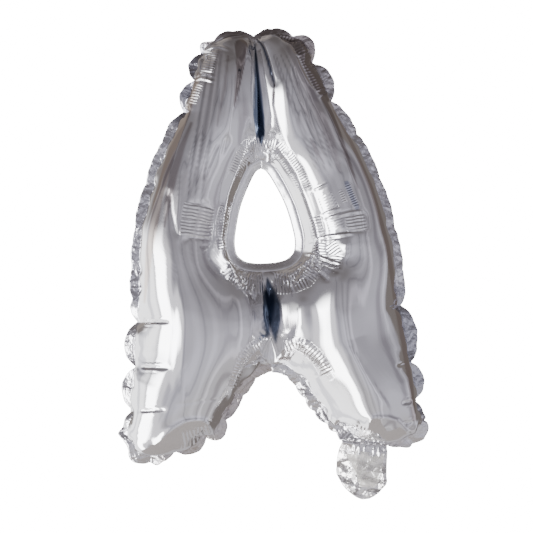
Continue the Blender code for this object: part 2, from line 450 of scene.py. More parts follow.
@dataclass(frozen=True)
class Way:
    """A line drawn over the letter as it is read from the front, the same on both faces.

    Attributes:
        points: its points as (to the right, down from the apex notch) in millimetres.
    """

    points: Pairs

    @property
    def length(self) -> float:
        """Its length in millimetres."""
        return sum(math.dist(a, b) for a, b in zip(self.points, self.points[1:]))

    def near(self, x: float, down: float) -> Pair:
        """Where a place lies beside the line.

        Args:
            x: millimetres to the right.
            down: millimetres down.

        Returns:
            How far the place is from the line, positive to the right of one that runs down and above one
            that runs to the right, and how far along the line its nearest point is.
        """
        best, done = (1e9, 0.0), 0.0
        for (ax, az), (bx, bz) in zip(self.points, self.points[1:]):
            ux, uz = bx - ax, bz - az
            span = math.hypot(ux, uz)
            share = min(max(((x - ax) * ux + (down - az) * uz) / (span * span), 0.0), 1.0)
            gap_x, gap_z = x - ax - share * ux, down - az - share * uz
            gap = math.hypot(gap_x, gap_z)
            if gap < abs(best[0]):
                best = (math.copysign(gap, gap_x * uz - gap_z * ux), done + share * span)
            done += span
        return best

    def beads(self, step: float) -> list[Pair]:
        """Points this far apart along the line."""
        beads = [self.points[0]]
        for (ax, az), (bx, bz) in zip(self.points, self.points[1:]):
            count = max(1, math.ceil(math.dist((ax, az), (bx, bz)) / step))
            beads += [(ax + (bx - ax) * i / count, az + (bz - az) * i / count) for i in range(1, count + 1)]
        return beads


@dataclass(frozen=True)
class Fold(Way):
    """A crease, a ridge or a pleat of the film.

    Attributes:
        height: how far it stands out, or in where it is negative, in millimetres.
        right: how far it fades out to its right, or above it, in millimetres.
        left: the same on its other side; as on the right if it is 0.
        ring: whether it is a round ring between two valleys, as on bamboo.
        soft: whether it is a soft swelling with no crease along it.
    """

    height: float = -1.0
    right: float = 1.2
    left: float = 0.0
    ring: bool = False
    soft: bool = False

    TAPER = 5.0
    SOFT_TAPER = 22.0
    WIDTHS_FELT = 3.2
    SOFT_WIDTHS_FELT = 2.2

    @property
    def reach(self) -> float:
        """How far it is felt, in millimetres."""
        widths = self.SOFT_WIDTHS_FELT if self.soft else self.WIDTHS_FELT
        return widths * max(self.right, self.left)

    def rise(self, x: float, down: float) -> float:
        """How far it moves a place outwards, in millimetres."""
        gap, along = self.near(x, down)
        width = self.right if gap > 0 or not self.left else self.left
        taper = self.SOFT_TAPER if self.soft else max(self.TAPER, 0.18 * self.length)
        ends = smooth_step(min(along, self.length - along), -0.5, min(taper, 0.4 * self.length))
        if self.soft:
            return self.height * ends * math.exp(-((gap / width) ** 2))
        if self.ring:
            turn = (gap / width) ** 2
            return self.height * ends * (1 - 1.6 * turn) * math.exp(-turn)
        return self.height * ends * math.exp(-abs(gap) / width)


@dataclass(frozen=True)
class PaintedReflection(Way):
    """A band of painted reflection: painted shade where its tint is below 1, a painted highlight above.

    Attributes:
        widths: half its width at each of its points, in millimetres.
        tint: what the foil's colour is multiplied by to paint the reflection.
        edge: width of its soft edge in millimetres.
    """

    widths: tuple[float, ...] = ()
    tint: Triple = (0.5, 0.47, 0.46)
    edge: float = 1.2

    @property
    def reach(self) -> float:
        """How far it is felt, in millimetres."""
        return max(self.widths) + self.edge

    def cover(self, x: float, down: float) -> float:
        """Its strength at a place, from 0 to 1."""
        gap, along = self.near(x, down)
        width, done = self.widths[-1], 0.0
        for i, (a, b) in enumerate(zip(self.points, self.points[1:])):
            span = math.dist(a, b)
            if along <= done + span:
                width = self.widths[i] + (self.widths[i + 1] - self.widths[i]) * (along - done) / span
                break
            done += span
        return 1 - smooth_step(abs(gap), width - self.edge / 2, width + self.edge / 2)

    @staticmethod
    def fan(
        left: Pairs,
        right: Pairs,
        streaks: tuple[Triple, ...],
    ) -> tuple[PaintedReflection, ...]:
        """Long thin streaks of painted reflection, lighter and darker, that run side by side down an arm.

        Args:
            left: points of the left border of the field.
            right: points of its right border, as many.
            streaks: for each its share of the way across, half its width and its painted light.

        Returns:
            The streaks.
        """
        painted_reflections = []
        for share, width, light in streaks:
            points = tuple(
                (a[0] + (b[0] - a[0]) * share, a[1] + (b[1] - a[1]) * share) for a, b in zip(left, right)
            )
            widths = (0.3 * width, *[width] * (len(points) - 2), 0.2 * width)
            painted_reflections.append(PaintedReflection(points, widths, (light, light * 0.985, light * 0.98), 0.9))
        return tuple(painted_reflections)


@dataclass(frozen=True)
class RibBand(Way):
    """A band of fine ribs that the gathered film stands in, each rib across the band.

    Attributes:
        width: half the width of the band, in millimetres.
        pitch: distance from rib to rib along the band, in millimetres.
        strength: height of the ribs, from 0 to 1.
    """

    width: float = 4.0
    pitch: float = 2.6
    strength: float = 1.0

    @property
    def reach(self) -> float:
        """How far it is felt, in millimetres."""
        return self.width + 1.5

    def marks(self, x: float, down: float) -> Pair:
        """The rib coordinate, one for each rib, and the ribs' strength at a place."""
        gap, along = self.near(x, down)
        ends = smooth_step(min(along, self.length - along), -0.5, 2.0)
        beside = 1 - smooth_step(abs(gap), self.width - 1.5, self.width + 1)
        return along / self.pitch, self.strength * ends * beside


FOLDS = (
    # Upper left arm
    Fold(((-42, 16), (-36, 14), (-30, 14), (-22, 19)), 1.0, 1.3, ring=True),
    Fold(((-52, 41), (-46, 41), (-41, 43), (-36, 45)), 1.0, 1.3, ring=True),
    Fold(((-46, 37), (-41, 38), (-35, 41)), 0.5, 1.0, ring=True),
    Fold(((-64, 66), (-60, 65), (-57, 68)), -1.6, 1.3),
    Fold(
        ((-36, 15), (-45, 38), (-56, 64), (-63, 83), (-69, 99), (-74, 116), (-78, 130), (-82, 158)),
        1.3, 5, 4,
    ),
    Fold(((-33, 93), (-38, 100), (-42, 108), (-46, 116), (-49, 127)), -0.8, 0.9, 2.5),
    Fold(((-22, 18), (-18, 26), (-18, 36), (-21, 61), (-24, 73), (-29, 97)), 1.8, 2.6, 7),
    Fold(((-3, 13), (-8, 25), (-13, 37), (-21, 63), (-28, 89), (-32, 101), (-36, 114)), -1.1, 5, 2.6),
    Fold(((-3, 18), (-5, 35), (-7, 52), (-7, 72), (-4, 94)), 1.1, 2.0, 2.8),
    Fold(((-33, 28), (-43, 64), (-52, 100), (-58, 132)), -0.4, 0.8),
    Fold(((-28, 26), (-36, 60), (-46, 96), (-53, 128)), 0.4, 0.9),
    Fold(((-38, 26), (-49, 64), (-59, 100), (-65, 132)), 0.35, 0.8),
    # Upper right arm
    Fold(((24, 18), (33, 50), (43, 82), (53, 116)), -0.4, 0.8),
    Fold(((20, 22), (28, 54), (38, 88), (48, 124)), 0.4, 0.9),
    Fold(((34, 34), (44, 66), (54, 98), (62, 130)), 0.35, 0.8),
    Fold(((2, 7), (6, 17), (9, 29), (11, 42), (13, 53)), -1.8, 1.5, 1.3),
    Fold(((5, 20), (7, 50), (9, 75), (7, 94)), 0.7, 2.2),
    Fold(((10, 19), (13, 37), (14, 54), (13, 66), (15, 79), (18, 91), (24, 104), (32, 117)), 0.9, 4, 3),
    Fold(((18, 5), (22, 16), (27, 24), (30, 28), (30, 42), (33, 55), (42, 85), (50, 110)), -0.7, 2.5, 1.6),
    Fold(((17, 1), (24, 11), (31, 13), (33, 22), (37, 34), (42, 45), (49, 58)), -1.3, 3.5, 1.3),
    Fold(((31, 23), (37, 25), (44, 21)), 1.1, 1.2, ring=True),
    Fold(((46, 55), (52, 54), (58, 51)), 1.1, 1.2, ring=True),
    Fold(((48, 60), (54, 58), (60, 55)), 1.1, 1.2, ring=True),
    Fold(((51, 61), (56, 76), (61, 91), (66, 106), (70, 124), (75, 138)), 1.0, 4, 6),
    # The band of pleats across the left arm
    Fold(((-64, 144), (-56, 144), (-50, 146), (-43, 149)), -1.0, 1.0),
    Fold(((-53, 142), (-45, 144)), -0.8, 0.8),
    Fold(((-71, 177), (-68, 174), (-64, 172), (-55, 173), (-46, 174)), -0.9, 1.5, 1.3),
    Fold(((-57, 180), (-52, 179), (-48, 179)), -0.8, 0.9),
    Fold(((-65, 104), (-69, 120), (-71, 141), (-73, 157), (-72, 171), (-71, 178)), 0.9, 3.5, 2.5),
    Fold(((-78, 130), (-78, 150), (-76, 165), (-72, 174)), -0.9, 2.2),
    Fold(
        ((-75, 175), (-78, 214), (-80, 246), (-84, 270), (-86, 294), (-93, 314), (-100, 330)), -0.35, 2.4, 5
    ),
    # The same across the right arm, in rings
    Fold(((38, 139), (43, 137), (51, 133)), 1.1, 1.3, ring=True),
    Fold(((43, 160), (52, 156), (61, 154)), 1.0, 1.3, ring=True),
    Fold(((45, 164), (53, 161), (68, 158), (81, 157)), 1.0, 1.3, ring=True),
    Fold(((42, 178), (50, 176), (57, 176), (70, 175)), 1.3, 1.5, ring=True),
    Fold(((55, 173), (63, 173), (80, 174)), -1.0, 1.0),
    Fold(((78, 155), (81, 161), (81, 171), (79, 175)), -1.1, 1.2),
    Fold(((33, 180), (42, 178)), -0.9, 1.0),
    Fold(((33, 189), (40, 191), (53, 198), (59, 201)), 1.0, 1.3, ring=True),
    Fold(((44, 198), (52, 202), (58, 207)), 1.0, 1.3, ring=True),
    Fold(((30, 194), (36, 200), (43, 208), (49, 216)), -1.6, 1.3),
    Fold(((66, 178), (64, 192), (60, 201), (56, 209), (50, 216)), 1.5, 1.6, 6),
    # Edge of the steep wall round the counter
    Fold(
        (
            (-5, 95), (-13, 100), (-20, 112), (-26, 124), (-31, 136), (-36, 159), (-38, 172), (-36, 182),
            (-31, 197), (-24, 209), (-20, 217),
        ),
        1.9, 6, 3,
    ),
    Fold(
        ((5, 95), (15, 101), (22, 111), (28, 121), (36, 145), (42, 167), (44, 180), (43, 193), (39, 202)),
        1.9, 3, 6,
    ),
    Fold(((22, 100), (34, 120), (42, 144), (49, 170), (50, 182), (46, 197)), -0.9, 2.5),
    Fold(((-19, 96), (-28, 112), (-35, 130), (-40, 150)), -0.7, 2.5),
    Fold(((-39, 202), (-31, 196)), -1.2, 1.0),
    Fold(((-36, 207), (-28, 200)), -1.2, 1.0),
    Fold(((-27, 216), (-21, 208)), -1.2, 1.0),
    # The crossbar's groove and the legs
    Fold(((-22, 216), (-18, 225), (-16, 240), (-18, 253), (-22, 262)), 1.0, 2.6, 4),
    Fold(((26, 224), (23, 235), (22, 247), (19, 257), (13, 259)), 1.0, 4, 2.6),
    Fold(((-5, 222), (-6, 238), (-3, 250), (2, 261)), 1.2, 2.0, 2.6),
    Fold(((8, 222), (9, 238), (8, 250), (5, 259)), 0.8, 2.2, 1.8),
    Fold(((-10, 251), (-6, 254)), -0.9, 0.8),
    Fold(((12, 254), (16, 251)), -0.9, 0.8),
    Fold(((9, 262), (19, 260), (26, 263), (33, 270), (39, 278), (43, 287)), 1.7, 3, 5),
    Fold(((24, 281), (27, 272), (29, 264)), 0.8, 1.0, ring=True),
    Fold(((33, 291), (38, 288), (43, 285)), 0.8, 1.0, ring=True),
    Fold(
        ((-3, 259), (-8, 257), (-15, 261), (-22, 266), (-28, 274), (-32, 284), (-36, 298), (-39, 310)),
        1.4, 5, 3,
    ),
    Fold(((57, 262), (63, 273), (70, 285), (80, 302), (94, 323)), 0.9, 1.2, 7),
    Fold(((57, 229), (57, 245), (59, 262), (66, 280), (73, 297), (78, 312)), 0.5, 2.2),
    Fold(
        ((54, 195), (55, 235), (58, 262), (66, 284), (74, 304), (80, 325), (86, 352)), 5.4, 12, 15, soft=True
    ),
    Fold(((-90, 184), (-66, 185), (-42, 186)), 2.0, 16, soft=True),
    Fold(((46, 186), (70, 185), (94, 184)), 2.0, 16, soft=True),
    Fold(((-73, 214), (-72, 238), (-74, 259), (-76, 283), (-76, 319)), 0.5, 2.5),
    Fold(((-86, 307), (-64, 305), (-44, 304)), -0.25, 0.7),
    # Rounded ends of the feet
    Fold(((75, 336), (76, 324), (81, 323), (89, 325), (98, 329), (106, 337), (113, 345)), 1.9, 1.3, 8),
    Fold(
        ((-102, 340), (-92, 329), (-84, 324), (-76, 320), (-67, 319), (-60, 320), (-55, 324), (-52, 331)),
        1.9, 1.3, 9,
    ),
)
# Bands painted into the foil's colour as reflections: painted shade below a tint of 1, painted highlights
# above
PAINTED_REFLECTIONS = (
    # Painted shade: dark blue in the grooves on the centre line
    PaintedReflection(
        ((0, 12), (0.5, 35), (1, 55), (1, 75), (1, 88), (1, 97)),
        (0.5, 1.0, 1.9, 3.0, 3.0, 0.3), (0.13, 0.16, 0.22),
    ),
    PaintedReflection(
        ((2, 7), (6, 17), (9, 29), (11, 42), (13, 53)),
        (0.4, 0.9, 1.2, 1.1, 0.2), (0.14, 0.16, 0.22), 1.0,
    ),
    PaintedReflection(
        ((0, 208), (1, 219), (3, 230), (3.5, 242), (3.5, 261)),
        (0.8, 4.6, 6.0, 5.0, 0.6), (0.13, 0.16, 0.22), 2.4,
    ),
    # Painted reflections on the arms: darker fields, and light and dark streaks
    PaintedReflection(((-12, 14), (-15, 34), (-18, 49), (-22, 66)), (5.5, 3.8, 2.4, 0.5), (0.46, 0.41, 0.39), 0.9),
    PaintedReflection(
        ((-31, 20), (-37, 45), (-45, 72), (-51, 95), (-56, 118)),
        (3, 4, 4.5, 4, 1.5), (0.76, 0.74, 0.74), 2.6,
    ),
    PaintedReflection(
        ((28, 18), (36, 42), (46, 70), (55, 98), (62, 124)),
        (3, 5, 5, 4.5, 1.5), (0.76, 0.73, 0.73), 2.6,
    ),
    *PaintedReflection.fan(
        ((-40, 22), (-47, 44), (-57, 84), (-65, 122), (-68, 142)),
        ((-26, 22), (-30, 52), (-38, 92), (-45, 126), (-48, 144)),
        (
            (0.06, 1.0, 1.1), (0.2, 0.8, 0.62), (0.33, 1.1, 1.1), (0.48, 0.9, 0.66), (0.62, 0.8, 1.1),
            (0.76, 1.2, 0.70), (0.92, 0.8, 1.1),
        ),
    ),
    *PaintedReflection.fan(
        ((13, 24), (19, 52), (30, 86), (42, 122)),
        ((28, 24), (39, 52), (51, 88), (62, 126)),
        (
            (0.04, 1.2, 0.62), (0.16, 0.8, 0.60), (0.28, 0.8, 1.0), (0.42, 0.9, 0.62), (0.57, 1.0, 1.1),
            (0.7, 0.8, 0.62), (0.86, 1.0, 1.1),
        ),
    ),
    PaintedReflection(((-24, 24), (-29, 52), (-37, 82)), (0.8, 1.4, 0.4), (0.72, 0.69, 0.68), 1.2),
    # Painted dark reflections, mostly brown, on the apex and down the right arm's edge
    PaintedReflection(((-24, 5), (-15, 4), (-8, 6)), (2.5, 4.0, 2.0), (0.50, 0.46, 0.45), 2.0),
    PaintedReflection(
        ((20, 2), (35, 13), (41, 26), (47, 42), (52, 54), (56, 62)),
        (3.5, 5.5, 5, 5, 4.5, 3), (0.42, 0.38, 0.37), 1.0,
    ),
    PaintedReflection(
        ((53, 62), (58, 76), (63, 91), (67, 106), (72, 124), (76, 138)),
        (2.6, 2.6, 2.3, 2, 1.6, 0.6), (0.5, 0.46, 0.45),
    ),
    PaintedReflection(((67, 134), (70, 143), (74, 154)), (2.4, 2.4, 2.2), (0.55, 0.58, 0.68)),
    PaintedReflection(((39, 96), (43, 105), (49, 117)), (0.8, 1.8, 0.3), (0.55, 0.52, 0.52), 1.4),
    # Painted brown reflection on the right outer flank
    PaintedReflection(
        ((61, 72), (74, 98), (88, 138), (97.5, 180), (104, 222), (109, 262), (112.5, 302), (114, 330)),
        (0.8, 1.8, 2.4, 2.6, 2.6, 2.6, 2.6, 2.0), (0.72, 0.66, 0.64), 1.0,
    ),
    # Painted highlight on the left wall of the counter
    PaintedReflection(((-14, 108), (-22, 126), (-29, 148), (-32, 172)), (2.0, 4.0, 4.5, 2.0), (1.2, 1.2, 1.21), 2.0),
    # Painted beige and darker reflections on the left outer flank
    PaintedReflection(
        ((-48, 36), (-59, 68), (-74, 100), (-88, 140), (-97, 180), (-103, 222)),
        (1.5, 3.0, 3.6, 3.6, 3.0, 0.8), (0.78, 0.70, 0.64), 1.4,
    ),
    PaintedReflection(
        ((-57, 78), (-66, 98), (-74, 120), (-80, 142), (-84, 162)),
        (1.0, 2.4, 3.2, 3.0, 0.6), (0.58, 0.54, 0.53), 2.0,
    ),
    # Painted brown reflection on the inner flank of the left leg
    PaintedReflection(
        ((-8, 283), (-18, 289), (-28, 301), (-37, 316), (-46, 330)),
        (1.5, 3.4, 3.6, 3.2, 2.0), (0.72, 0.66, 0.62), 1.2,
    ),
)
RIB_BANDS = (
    RibBand(((-35, 16), (-39, 28), (-43, 38)), 4.5, 2.2),
    RibBand(((-47, 44), (-51, 52), (-55, 62)), 3.0, 2.2, 0.7),
    RibBand(((20, 3), (35, 13), (41, 26), (47, 42), (53, 56)), 5.5, 2.6),
    RibBand(((-54, 145), (-57, 158), (-59, 172)), 13.0, 2.8, 0.8),
    RibBand(((72, 159), (74, 174)), 8.0, 2.6, 0.8),
    RibBand(((67, 134), (70, 143), (74, 154)), 2.6, 2.0),
    RibBand(((61, 139), (63, 144), (65, 150)), 1.6, 2.0),
    RibBand(((48, 141), (54, 156), (57, 172)), 6.0, 2.4, 0.3),
    RibBand(((50, 181), (56, 192), (52, 205)), 5.0, 2.4, 0.5),
    RibBand(((0, 97), (-12, 99), (-19, 110), (-25, 122)), 5.0, 2.1),
    RibBand(((0, 97), (12, 99), (20, 108), (28, 121), (34, 138)), 5.0, 2.1),
    RibBand(((-33, 145), (-37, 160), (-38, 173), (-36, 183)), 4.0, 2.4),
    RibBand(((40, 158), (44, 178), (43, 192), (38, 204)), 4.0, 2.4, 0.7),
    RibBand(((-29, 200), (-22, 207), (-12, 211), (-3, 212)), 8.0, 2.3),
    RibBand(((36, 200), (29, 208), (18, 212), (5, 212)), 9.0, 2.4),
    RibBand(((9, 264), (19, 262), (26, 265), (33, 272), (39, 280), (43, 289)), 5.0, 2.8),
    RibBand(((-3, 260), (-8, 258), (-15, 262), (-22, 267), (-28, 275), (-32, 286), (-35, 296)), 3.6, 2.6),
    RibBand(((56, 335), (65, 335), (75, 336)), 4.5, 3.2),
    RibBand(((-81, 336), (-72, 335), (-63, 333), (-54, 330)), 7.0, 3.3, 0.8),
)


@dataclass(frozen=True)
class Relief:
    """All that is pressed into a blown panel: folds and ribs, and bands of painted reflection.

    Attributes:
        folds: its folds.
        painted_reflections: its bands of painted shade and painted highlight.
        rib_bands: its bands of fine ribs.
    """

    folds: tuple[Fold, ...] = FOLDS
    painted_reflections: tuple[PaintedReflection, ...] = PAINTED_REFLECTIONS
    rib_bands: tuple[RibBand, ...] = RIB_BANDS

    def press(self, mesh: Mesh, creases: tuple[Fold, ...]) -> None:
        """Presses it into a finely divided panel, and paints its reflections into the tint.

        Args:
            mesh: the panel, with a point attribute "free" that is 0 on its seals and 1 off them.
            creases: more folds, which run in from the outer seal.
        """
        tree = KDTree(len(mesh.vertices))
        for i, vert in enumerate(mesh.vertices):
            tree.insert((vert.co.x, 0.0, vert.co.z), i)
        tree.balance()
        places = [(vert.co.x / MM, -vert.co.z / MM) for vert in mesh.vertices]
        self._paint_reflections(mesh, tree, places)
        self._rib(mesh, tree, places)
        rises = [0.0] * len(places)
        for fold in (*self.folds, *creases):
            for i in self._close(fold, fold.reach, tree):
                rises[i] += fold.rise(*places[i])
        free = mesh.attributes["free"].data
        moves = [vert.normal * rises[i] * free[i].value * MM for i, vert in enumerate(mesh.vertices)]
        for vert, move in zip(mesh.vertices, moves):
            vert.co += move
        mesh.update()

    @staticmethod
    def _close(way: Way, reach: float, tree: KDTree) -> set[int]:
        """Numbers of the vertices within reach of a line, given in millimetres."""
        step = max(0.5 * reach, 1.0)
        found: set[int] = set()
        for x, down in way.beads(step):
            near = tree.find_range((x * MM, 0.0, -down * MM), math.hypot(reach, step / 2) * MM)
            found.update(i for _, i, _ in near)
        return found

    def _paint_reflections(self, mesh: Mesh, tree: KDTree, places: list[Pair]) -> None:
        """Writes the painted reflections as the tint that the finish multiplies the foil's colour by."""
        tint = mesh.attributes.new("tint", "FLOAT_COLOR", "POINT")
        colours = [Vector((1.0, 1.0, 1.0)) for _ in places]
        for shade in self.painted_reflections:
            for i in self._close(shade, shade.reach, tree):
                colours[i] = colours[i].lerp(Vector(shade.tint), shade.cover(*places[i]))
        for i, colour in enumerate(colours):
            tint.data[i].color = (*colour, 1.0)

    def _rib(self, mesh: Mesh, tree: KDTree, places: list[Pair]) -> None:
        """Writes the ribs' coordinate and strength as a UV map."""
        marks = [(0.0, 0.0)] * len(places)
        for band in self.rib_bands:
            for i in self._close(band, band.reach, tree):
                mark = band.marks(*places[i])
                if mark[1] > marks[i][1]:
                    marks[i] = mark
        ribs = mesh.uv_layers.new(name="Ribs")
        for loop in mesh.loops:
            ribs.data[loop.index].uv = marks[loop.vertex_index]


@dataclass
class FoilPanel:
    """One face of the letter: a film cut flat, sealed along its lines and blown up.

    Attributes:
        side: which face it makes.
        half: the blown half letter.
        cut: the half letter as it was cut.
        seal: the blown outer seal.
        row_pitch: distance between the grid's rows along the inner edge.
        columns: faces from the inner edge to the outer seal.
        half_thickness: how far the film stands off the seal plane before it is blown.
        rounding_reach: how far from a seal the film reaches that height.
        film_gap: distance from the seal plane to the film's rim.
        groove_height: how far the bottoms of the two grooves on the centre line stand off the seal plane.
        stretches: each stretch of the inner edge, with its length and where its rows end on the outer seal.
        straightening: passes that draw the film straight along the limbs.
        valley: how far the grooves are pressed in beside the centre line.
        valley_reach: half the width of a groove's valley.
        shoulder: how far the film stands out along a valley's edge.
        puff: how far it swells between two tucks.
        puff_reach: how far in from the outer seal it does so.
        relief: the folds and ribs pressed into it, and its painted reflections.
        rows: the grid's rows, from the apex to the foot.
        spots: the place on the film of each vertex.
    """

    side: Side
    half: HalfLetter
    cut: HalfLetter
    seal: BlownSeal
    row_pitch: float = 2.2 * MM
    columns: int = 38
    half_thickness: float = 31 * MM
    rounding_reach: float = 36 * MM
    film_gap: float = 0.25 * MM
    groove_height: float = 6 * MM
    stretches: tuple[tuple[Stretch, float, float], ...] = (
        (Stretch.APEX_GROOVE, 95 * MM, 0.22),
        (Stretch.COUNTER, 130 * MM, 0.60),
        (Stretch.BAR_GROOVE, 70 * MM, 0.76),
        (Stretch.INNER_LEG, 95 * MM, 1.0),
    )
    straightening: int = 40
    valley: float = 5.0 * MM
    valley_reach: float = 20 * MM
    shoulder: float = 1.6 * MM
    puff: float = 3.0 * MM
    puff_reach: float = 17 * MM
    relief: Relief = field(default_factory=Relief)
    rows: list[Row] = field(default_factory=list)
    spots: list[Spot] = field(default_factory=list)

    # Distances from a side or end seal at which the film starts to be drawn straight, and is in full
    SIDE_HOLD, END_HOLD = (5 * MM, 18 * MM), (6 * MM, 34 * MM)
    GROOVE_FREEDOM = 12 * MM
    # Distance between two tucks that gives a full swelling, and its rim
    FULL_PUFF, PUFF_RIM = 34 * MM, 3 * MM
    MARK_PITCH = 1.5 * MM

    @property
    def name(self) -> str:
        """Name of the finished piece."""
        return f"foil_{self.side.name.lower()}"

    def build(self, finish: Material) -> Object:
        """Cuts, blows and dresses the panel.

        Args:
            finish: the foil's material.

        Returns:
            The finished piece, at the origin.
        """
        self._lay_rows()
        mesh, cut_places = self._blank()
        mesh = Blower(seed=self.side.value).blow(mesh, cut_places)
        self._straighten(mesh)
        self._press_grooves(mesh)
        self._puff(mesh)
        self._mark(mesh)
        mesh = self._divided(mesh)
        self.relief.press(mesh, self.seal.creases())
        mesh.shade_smooth()
        mesh.materials.append(finish)
        return add_object(self.name, mesh)

    def _divided(self, mesh: Mesh) -> Mesh:
        """Divides the panel's faces smoothly, so that it takes fine folds.

        Args:
            mesh: the panel, which is removed.

        Returns:
            The finer mesh.
        """
        coarse = add_object("coarse_film", mesh)
        smooth = coarse.modifiers.new("Smooth film", "SUBSURF")
        smooth.levels = 1
        smooth.render_levels = 1
        fine = bpy.data.meshes.new_from_object(coarse.evaluated_get(bpy.context.evaluated_depsgraph_get()))
        bpy.data.objects.remove(coarse, do_unlink=True)
        bpy.data.meshes.remove(mesh)
        fine.name = self.name
        return fine

    def _lay_rows(self) -> None:
        """Works out the rows of the grid from the apex to the foot."""
        counts = [max(2, round(length / self.row_pitch)) for _, length, _ in self.stretches]
        done, start = 0, 0.0
        self.rows = []
        for (stretch, _, end), count in zip(self.stretches, counts):
            extra = 1 if stretch is Stretch.INNER_LEG else 0
            for i in range(count + extra):
                share = i / count
                outer_share = start + share * (end - start)
                self.rows.append(Row(stretch, share, outer_share, (done + i) / sum(counts)))
            done += count
            start = end

    def _blank(self) -> tuple[Mesh, list[Vector]]:
        """Makes the panel's grid with its slits for the counter and between the legs.

        Returns:
            The mesh, roughly blown, and its vertices' places in the flat cut.
        """
        last = len(self.rows) - 1
        bm = bmesh.new()
        bmesh.ops.create_grid(bm, x_segments=2 * self.columns, y_segments=last, size=1.0)
        bmesh.ops.split_edges(bm, edges=[edge for edge in bm.edges if self._is_slit(edge, last)])
        self.spots = [self._spot(vert, last) for vert in bm.verts]
        seals = self._seal_tree()
        rim = bm.verts.layers.deform.verify()
        cut_places = []
        for vert, spot in zip(bm.verts, self.spots):
            row = self.rows[spot.index]
            spread = 0.5 - 0.5 * math.cos(math.pi * spot.across)
            place = self.half.place(row, spot.across, spread)
            flat = self.cut.place(row, spot.across, spot.across)
            spot.sealed = self._is_sealed(row, spot, last)
            if spot.sealed or spot.hand == 0:
                vert[rim][0] = 1.0
            vert.co = self._blown(place, row, spot, seals)
            cut_places.append(Vector((spot.hand * flat.x, 0.0, -flat.y)))
        bm.normal_update()
        if sum(face.normal.y for face in bm.faces) * self.side.value < 0:
            bmesh.ops.reverse_faces(bm, faces=bm.faces)
        return as_mesh(bm, self.name), cut_places

    def _is_slit(self, edge: bmesh.types.BMEdge, last: int) -> bool:
        """Says whether an edge of the grid lies on the centre line where the letter is open."""
        if any(abs(vert.co.x) > 1e-6 for vert in edge.verts):
            return False
        low, high = sorted(self._index(vert, last) for vert in edge.verts)
        return self.rows[low].stretch in (Stretch.COUNTER, Stretch.INNER_LEG) and high > low

    @staticmethod
    def _index(vert: bmesh.types.BMVert, last: int) -> int:
        """Row number of a vertex of the grid as it was created."""
        return round((0.5 * vert.co.y + 0.5) * last)

    def _spot(self, vert: bmesh.types.BMVert, last: int) -> Spot:
        """Place on the film of a vertex of the grid as it was created."""
        column = round(abs(vert.co.x) * self.columns)
        lean = vert.co.x if column else sum(face.calc_center_median().x for face in vert.link_faces)
        hand = 0 if abs(lean) < 1e-4 else int(math.copysign(1, lean))
        index = self._index(vert, last)
        row = self.rows[index]
        width = (self.cut.outer.at(row.outer_share) - self.cut.inner_point(row.stretch, row.share)).length
        return Spot(hand, column, column / self.columns, index, width)

    def _is_sealed(self, row: Row, spot: Spot, last: int) -> bool:
        """Says whether a vertex is held by a seal."""
        if spot.column == self.columns or spot.index in (0, last):
            return True
        if spot.column:
            return False
        before = self.rows[spot.index - 1].stretch
        return Stretch.COUNTER in (row.stretch, before) or row.stretch is Stretch.INNER_LEG

    def _seal_tree(self) -> KDTree:
        """Tree of the seal lines' points, for distances to the nearest seal."""
        half = self.half
        lines = (half.top, half.outer, half.foot, half.crotch, half.counter)
        points = [(hand * p.x, p.y, 0.0) for line in lines for p in line.points for hand in (1, -1)]
        tree = KDTree(len(points))
        for i, point in enumerate(points):
            tree.insert(point, i)
        tree.balance()
        return tree

    def _blown(self, place: Vector, row: Row, spot: Spot, seals: KDTree) -> Vector:
        """Where a vertex is when the letter is blown: on its seal, or at a rough height off the plane."""
        gap = Vector((0.0, self.side.value * self.film_gap, 0.0))
        if spot.sealed:
            distance = self._seal_distance(row, spot)
            if distance is not None and spot.hand:
                return self.seal.point(distance, spot.hand) + gap
            return Vector((spot.hand * place.x, 0.0, -place.y)) + gap
        if spot.hand == 0:
            height = self.groove_height * math.sqrt(math.sin(math.pi * row.share))
            return Vector((0.0, self.side.value * height, -place.y)) + gap
        away = seals.find((place.x, place.y, 0.0))[2]
        within = min(away / self.rounding_reach, 1.0)
        height = self.half_thickness * math.sqrt(1 - (1 - within) ** 2)
        return Vector((spot.hand * place.x, self.side.value * height, -place.y)) + gap

    def _seal_distance(self, row: Row, spot: Spot) -> float | None:
        """Metres along the outer seal from the apex notch, or None on the counter's seal."""
        half = self.half
        spread = 0.5 - 0.5 * math.cos(math.pi * spot.across)
        past_outer = half.top.length + half.outer.length
        if spot.column == self.columns:
            return half.top.length + row.outer_share * half.outer.length
        if spot.index == 0:
            return spread * half.top.length
        if spot.index == len(self.rows) - 1:
            return past_outer + (1 - spread) * half.foot.length
        if row.stretch is Stretch.INNER_LEG:
            return past_outer + half.foot.length + (1 - row.share) * half.crotch.length
        return None

    def _straighten(self, mesh: Mesh) -> None:
        """Draws the film straight along the limbs, away from the seals, as its tension does.

        Args:
            mesh: the blown panel.
        """
        last = len(self.rows) - 1
        places = {(spot.hand, spot.column, spot.index): i for i, spot in enumerate(self.spots)}
        chains = []
        for i, spot in enumerate(self.spots):
            above = places.get((spot.hand, spot.column, spot.index - 1))
            below = places.get((spot.hand, spot.column, spot.index + 1))
            if spot.sealed or spot.hand == 0 or above is None or below is None:
                continue
            inner = spot.inner_reach
            if self.rows[spot.index].stretch in (Stretch.APEX_GROOVE, Stretch.BAR_GROOVE):
                inner += self.GROOVE_FREEDOM
            ends = min(spot.index, last - spot.index) * self.row_pitch
            weight = smooth_step(min(inner, spot.outer_reach), *self.SIDE_HOLD)
            weight *= smooth_step(ends, *self.END_HOLD)
            if weight > 0:
                chains.append((i, above, below, 0.5 * weight))
        spots = [vert.co.copy() for vert in mesh.vertices]
        for _ in range(self.straightening):
            moved = []
            for i, up, down, weight in chains:
                moved.append((i, spots[i].lerp((spots[up] + spots[down]) / 2, weight)))
            for i, place in moved:
                spots[i] = place
        for vert, place in zip(mesh.vertices, spots):
            vert.co = place
        mesh.update()

